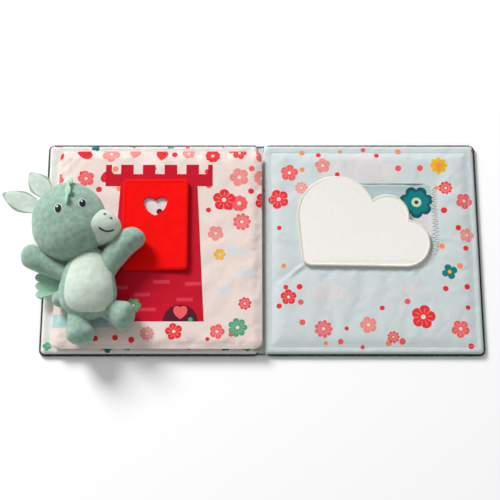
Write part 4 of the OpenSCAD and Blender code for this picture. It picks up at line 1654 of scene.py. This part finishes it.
def turned(target, middle, angle):
    """Turns a mesh about the vertical through a place and moves it there."""
    c, s = math.cos(math.radians(angle)), math.sin(math.radians(angle))
    mx, my, mz = middle
    move_points(target, lambda x, y, z: (mx + x * c - y * s, my + x * s + y * c, mz + z))
    return target


def ear_form(name, angle, length, height):
    """A flat pointed ear, cupped at its root, with a paler cloth on its upper face."""
    def rule(p):
        x, y, z = p.T
        narrow = 1 - 0.5 * np.clip(x, 0, 1) ** 2 - 0.3 * np.clip(-x, 0, 1)
        cup = 2.2 * y * y * ease(-x, -0.3, 0.9) + 0.5 * x
        return np.column_stack([x, y * narrow, z + cup])
    form = ball(name, (0, 0, 0), (length * 0.62, EAR_WIDE, EAR_THICK), VELOUR, 26, rule)
    form.data.materials.append(VELOUR_PALE)
    for face in form.data.polygons:
        x, y, z = face.center / MM
        inner = (x / length / 0.55) ** 2 + (y / INNER_EDGE) ** 2 < 1
        face.material_index = int(inner and face.normal.z > 0.3)
    reach = HEAD_HALF[0] + length * 0.36
    c, s = math.cos(math.radians(angle)), math.sin(math.radians(angle))
    return turned(form, (HEAD[0] + reach * c, HEAD[1] + reach * s, height), angle)


ears = {"plush_ear_left": ear_form("plush_ear_left_cloth", 157, 36, HEAD_Z + 1),
        "plush_ear_right": ear_form("plush_ear_right_cloth", 129, 28, HEAD_Z + 1)}
print("ears:", list(ears))


# %% Wings
WING_ROOT, SCALLOPS, SCALLOP_CUT = 7, 3, 0.16
WING_TOP, WING_UNDER = 1.4, -0.4


def wing_form(name, middle, angle, length, width):
    """A felt wing: a sheet that widens to three scallops."""
    rows = []
    for t in np.linspace(0, 1, 25):
        row = []
        half = WING_ROOT + (width / 2 - WING_ROOT) * t
        for u in np.linspace(-1, 1, 41):
            scallop = abs(math.sin((u + 1) * SCALLOPS / 2 * math.pi)) ** 0.6
            row.append((length * t * (1 - SCALLOP_CUT * (1 - scallop) * t), u * half))
        rows.append(row)
    flat = np.array(rows)
    rise = 0.7 * np.sin(flat[:, :, 0] / length * 2.2) + 0.25 * np.cos(flat[:, :, 1] * 0.5)
    upper, lower = (np.dstack([flat, rise + z]).reshape(-1, 3) for z in (WING_TOP, WING_UNDER))
    count, shape = len(upper), flat.shape[:2]
    faces = grid_faces(*shape, flip=True) + grid_faces(*shape, count)
    ring = border(*shape)
    faces += [(a, b, b + count, a + count) for a, b in zip(ring, ring[1:] + ring[:1])]
    form = add_mesh(name, np.vstack([upper, lower]), faces, FELT_MINT)
    weld(form)
    return turned(form, middle, angle)


WING_Z = LAY_Z + 1
wings = {"plush_wing_left": wing_form("plush_wing_left_felt", (-191.4, -41.2, WING_Z), 184, 31, 26),
         "plush_wing_right": wing_form("plush_wing_right_felt", (-161, -41.2, WING_Z), -4, 14, 12)}
print("wings:", list(wings))


# %% Crest
CREST_SCALLOPS, CREST_FIRST, CREST_STEP = 5, 8, 14.8
CREST_HALF, CREST_LEANS = (1.6, 6.0, 6.0), (1.2, 2.4)


def make_crest():
    """Pale scallops over the crown, each a flat disc set on edge and leaning by turns."""
    parts = []
    for k in range(CREST_SCALLOPS):
        a = math.radians(CREST_FIRST + k * CREST_STEP)
        y, z = HEAD[1] + HEAD_HALF[1] * math.cos(a), HEAD_Z + HEAD_RISE * math.sin(a)
        lean = CREST_LEANS[k % 2]
        parts.append(ball("scallop", (HEAD[0], y, z), CREST_HALF, FELT_MINT, 12,
                          lambda p: p + np.outer(p[:, 2], (lean, 0, 0))))
    with bpy.context.temp_override(active_object=parts[0], selected_editable_objects=parts):
        bpy.ops.object.join()
    parts[0].name = "plush_crest_felt"
    return parts[0]


crest = make_crest()
print("crest:", len(crest.data.polygons), "faces")

# %% [markdown]
# Embroidery is thread that lies on the velour. Each eye is a dark patch on a paler one with a white
# glint, and the smile is a row of stitches whose height a ray finds on the muzzle.

# %% Embroidered face
HEAD_WIDE, HEAD_LONG = 74, 79
EYES = {"plush_eye_left": (HEAD[0] - 0.1 * HEAD_WIDE, HEAD[1] + 0.07 * HEAD_LONG),
        "plush_eye_right": (HEAD[0] + 0.21 * HEAD_WIDE, HEAD[1] + 0.15 * HEAD_LONG)}
EYE_HALF, RING_HALF, GLINT_HALF, NOSTRIL_HALF = (3.7, 5.0), (4.7, 6.0), (1.1, 1.3), (1.7, 1.2)
EYE_T, THREAD_T = 0.9, 0.5
NOSTRILS = ((-152.5, 20.5), (-146.5, 17.0))
SMILE_FROM, SMILE_LONG, SMILE_SAG = (-157, 5.5), 13, 9.5
eyes, face = {}, {}
for node, (x, y) in EYES.items():
    eyes[node] = patch(node + "_thread", head, (x, y), EYE_HALF, EYE_T, THREAD_INK, None, 6, 32)
    face[node + "_ring"] = patch(node + "_ring", head, (x, y), RING_HALF, THREAD_T, VELOUR_PALE,
                                 None, 4, 32)
    face[node + "_glint"] = patch(node + "_glint", eyes[node], (x - 0.8, y + 1.8), GLINT_HALF,
                                  THREAD_T, THREAD_WHITE, None, 3, 16)
for k, middle in enumerate(NOSTRILS):
    face[f"nostril_{k}"] = patch(f"plush_nostril_{k}", muzzle, middle, NOSTRIL_HALF, THREAD_T,
                                 THREAD_INK, None, 3, 16)
smile = [(SMILE_FROM[0] + SMILE_LONG * t, SMILE_FROM[1] - SMILE_SAG * t * (1 - t))
         for t in np.linspace(0, 1, 24)]
smile_path = on_surface(smile, surface_of(muzzle), 0.1, LAY_Z)
face["smile"] = sew("plush_smile", smile_path, THREAD_INK, seed=21, **SMILE_STITCH)
print("face pieces:", len(eyes) + len(face))


# %% Plush bodies and replacements
for piece, node, slot in ((head, "plush_head", "plush_pile"), (muzzle, "plush_muzzle", "plush_pale"),
                          (body, "plush_body", "plush_pile"), (belly, "plush_belly", "plush_pale"),
                          (crest, "plush_crest", "mint_felt")):
    dress(piece, node, FRONT, slot)
for node, piece in limbs.items():
    dress(piece, node, FRONT, "plush_pile")
for node, piece in ears.items():
    dress(piece, node, FRONT, "plush_pile")
for node, piece in wings.items():
    dress(piece, node, FRONT, "mint_felt")
for node in EYES:
    dress(eyes[node], node, FRONT, "eye_thread")
for piece in face.values():
    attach(piece, FRONT)
print("plush nodes replaced:", 5 + len(limbs) + len(ears) + len(wings) + len(EYES))

# %% [markdown]
# ## The sheets and pads of the cloth
# Each sheet is listed with the size it was cut to, how it is held, what it rests on and, where it isn't
# a rectangle, its flat area, and each pad with how tightly it is filled. The loops only turn sizes into
# metres.

# %% Every sheet and every padded piece
CLOUD_AREA, BELLY_AREA = 0.0092, 0.0027
for piece, size, held, rests, area in (
        (door, (DOOR_W, DOOR_H), "laid", ["leaf"], None),
        (cloud, (CLOUD_HIGH - CLOUD_LOW)[:2], "laid", ["back_cover"], CLOUD_AREA),
        (window_backing, size_mm("window_backing")[:2], "stretched", ["back_cover"], None),
        (belly, (47, 64), "stretched", ["plush_body"], BELLY_AREA),
        (wings["plush_wing_left"], (31, 24), "laid", ["leaf"], None),
        (wings["plush_wing_right"], (14, 13), "laid", ["leaf"], None),
        (crest, (50, 12), "stretched", ["plush_head"], None)):
    flat = tuple(float(side) * MM for side in size)
    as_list(rests)
for fill, pieces in ((0.5, (back_cover, front_cover, leaf)), (0.3, (spine,)), (0.9, (head, muzzle)),
                     (0.8, (body, *limbs.values())), (0.2, ears.values())):
    for piece in pieces:
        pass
print("materials of the whole book:", len(bpy.data.materials))

# %% [markdown]
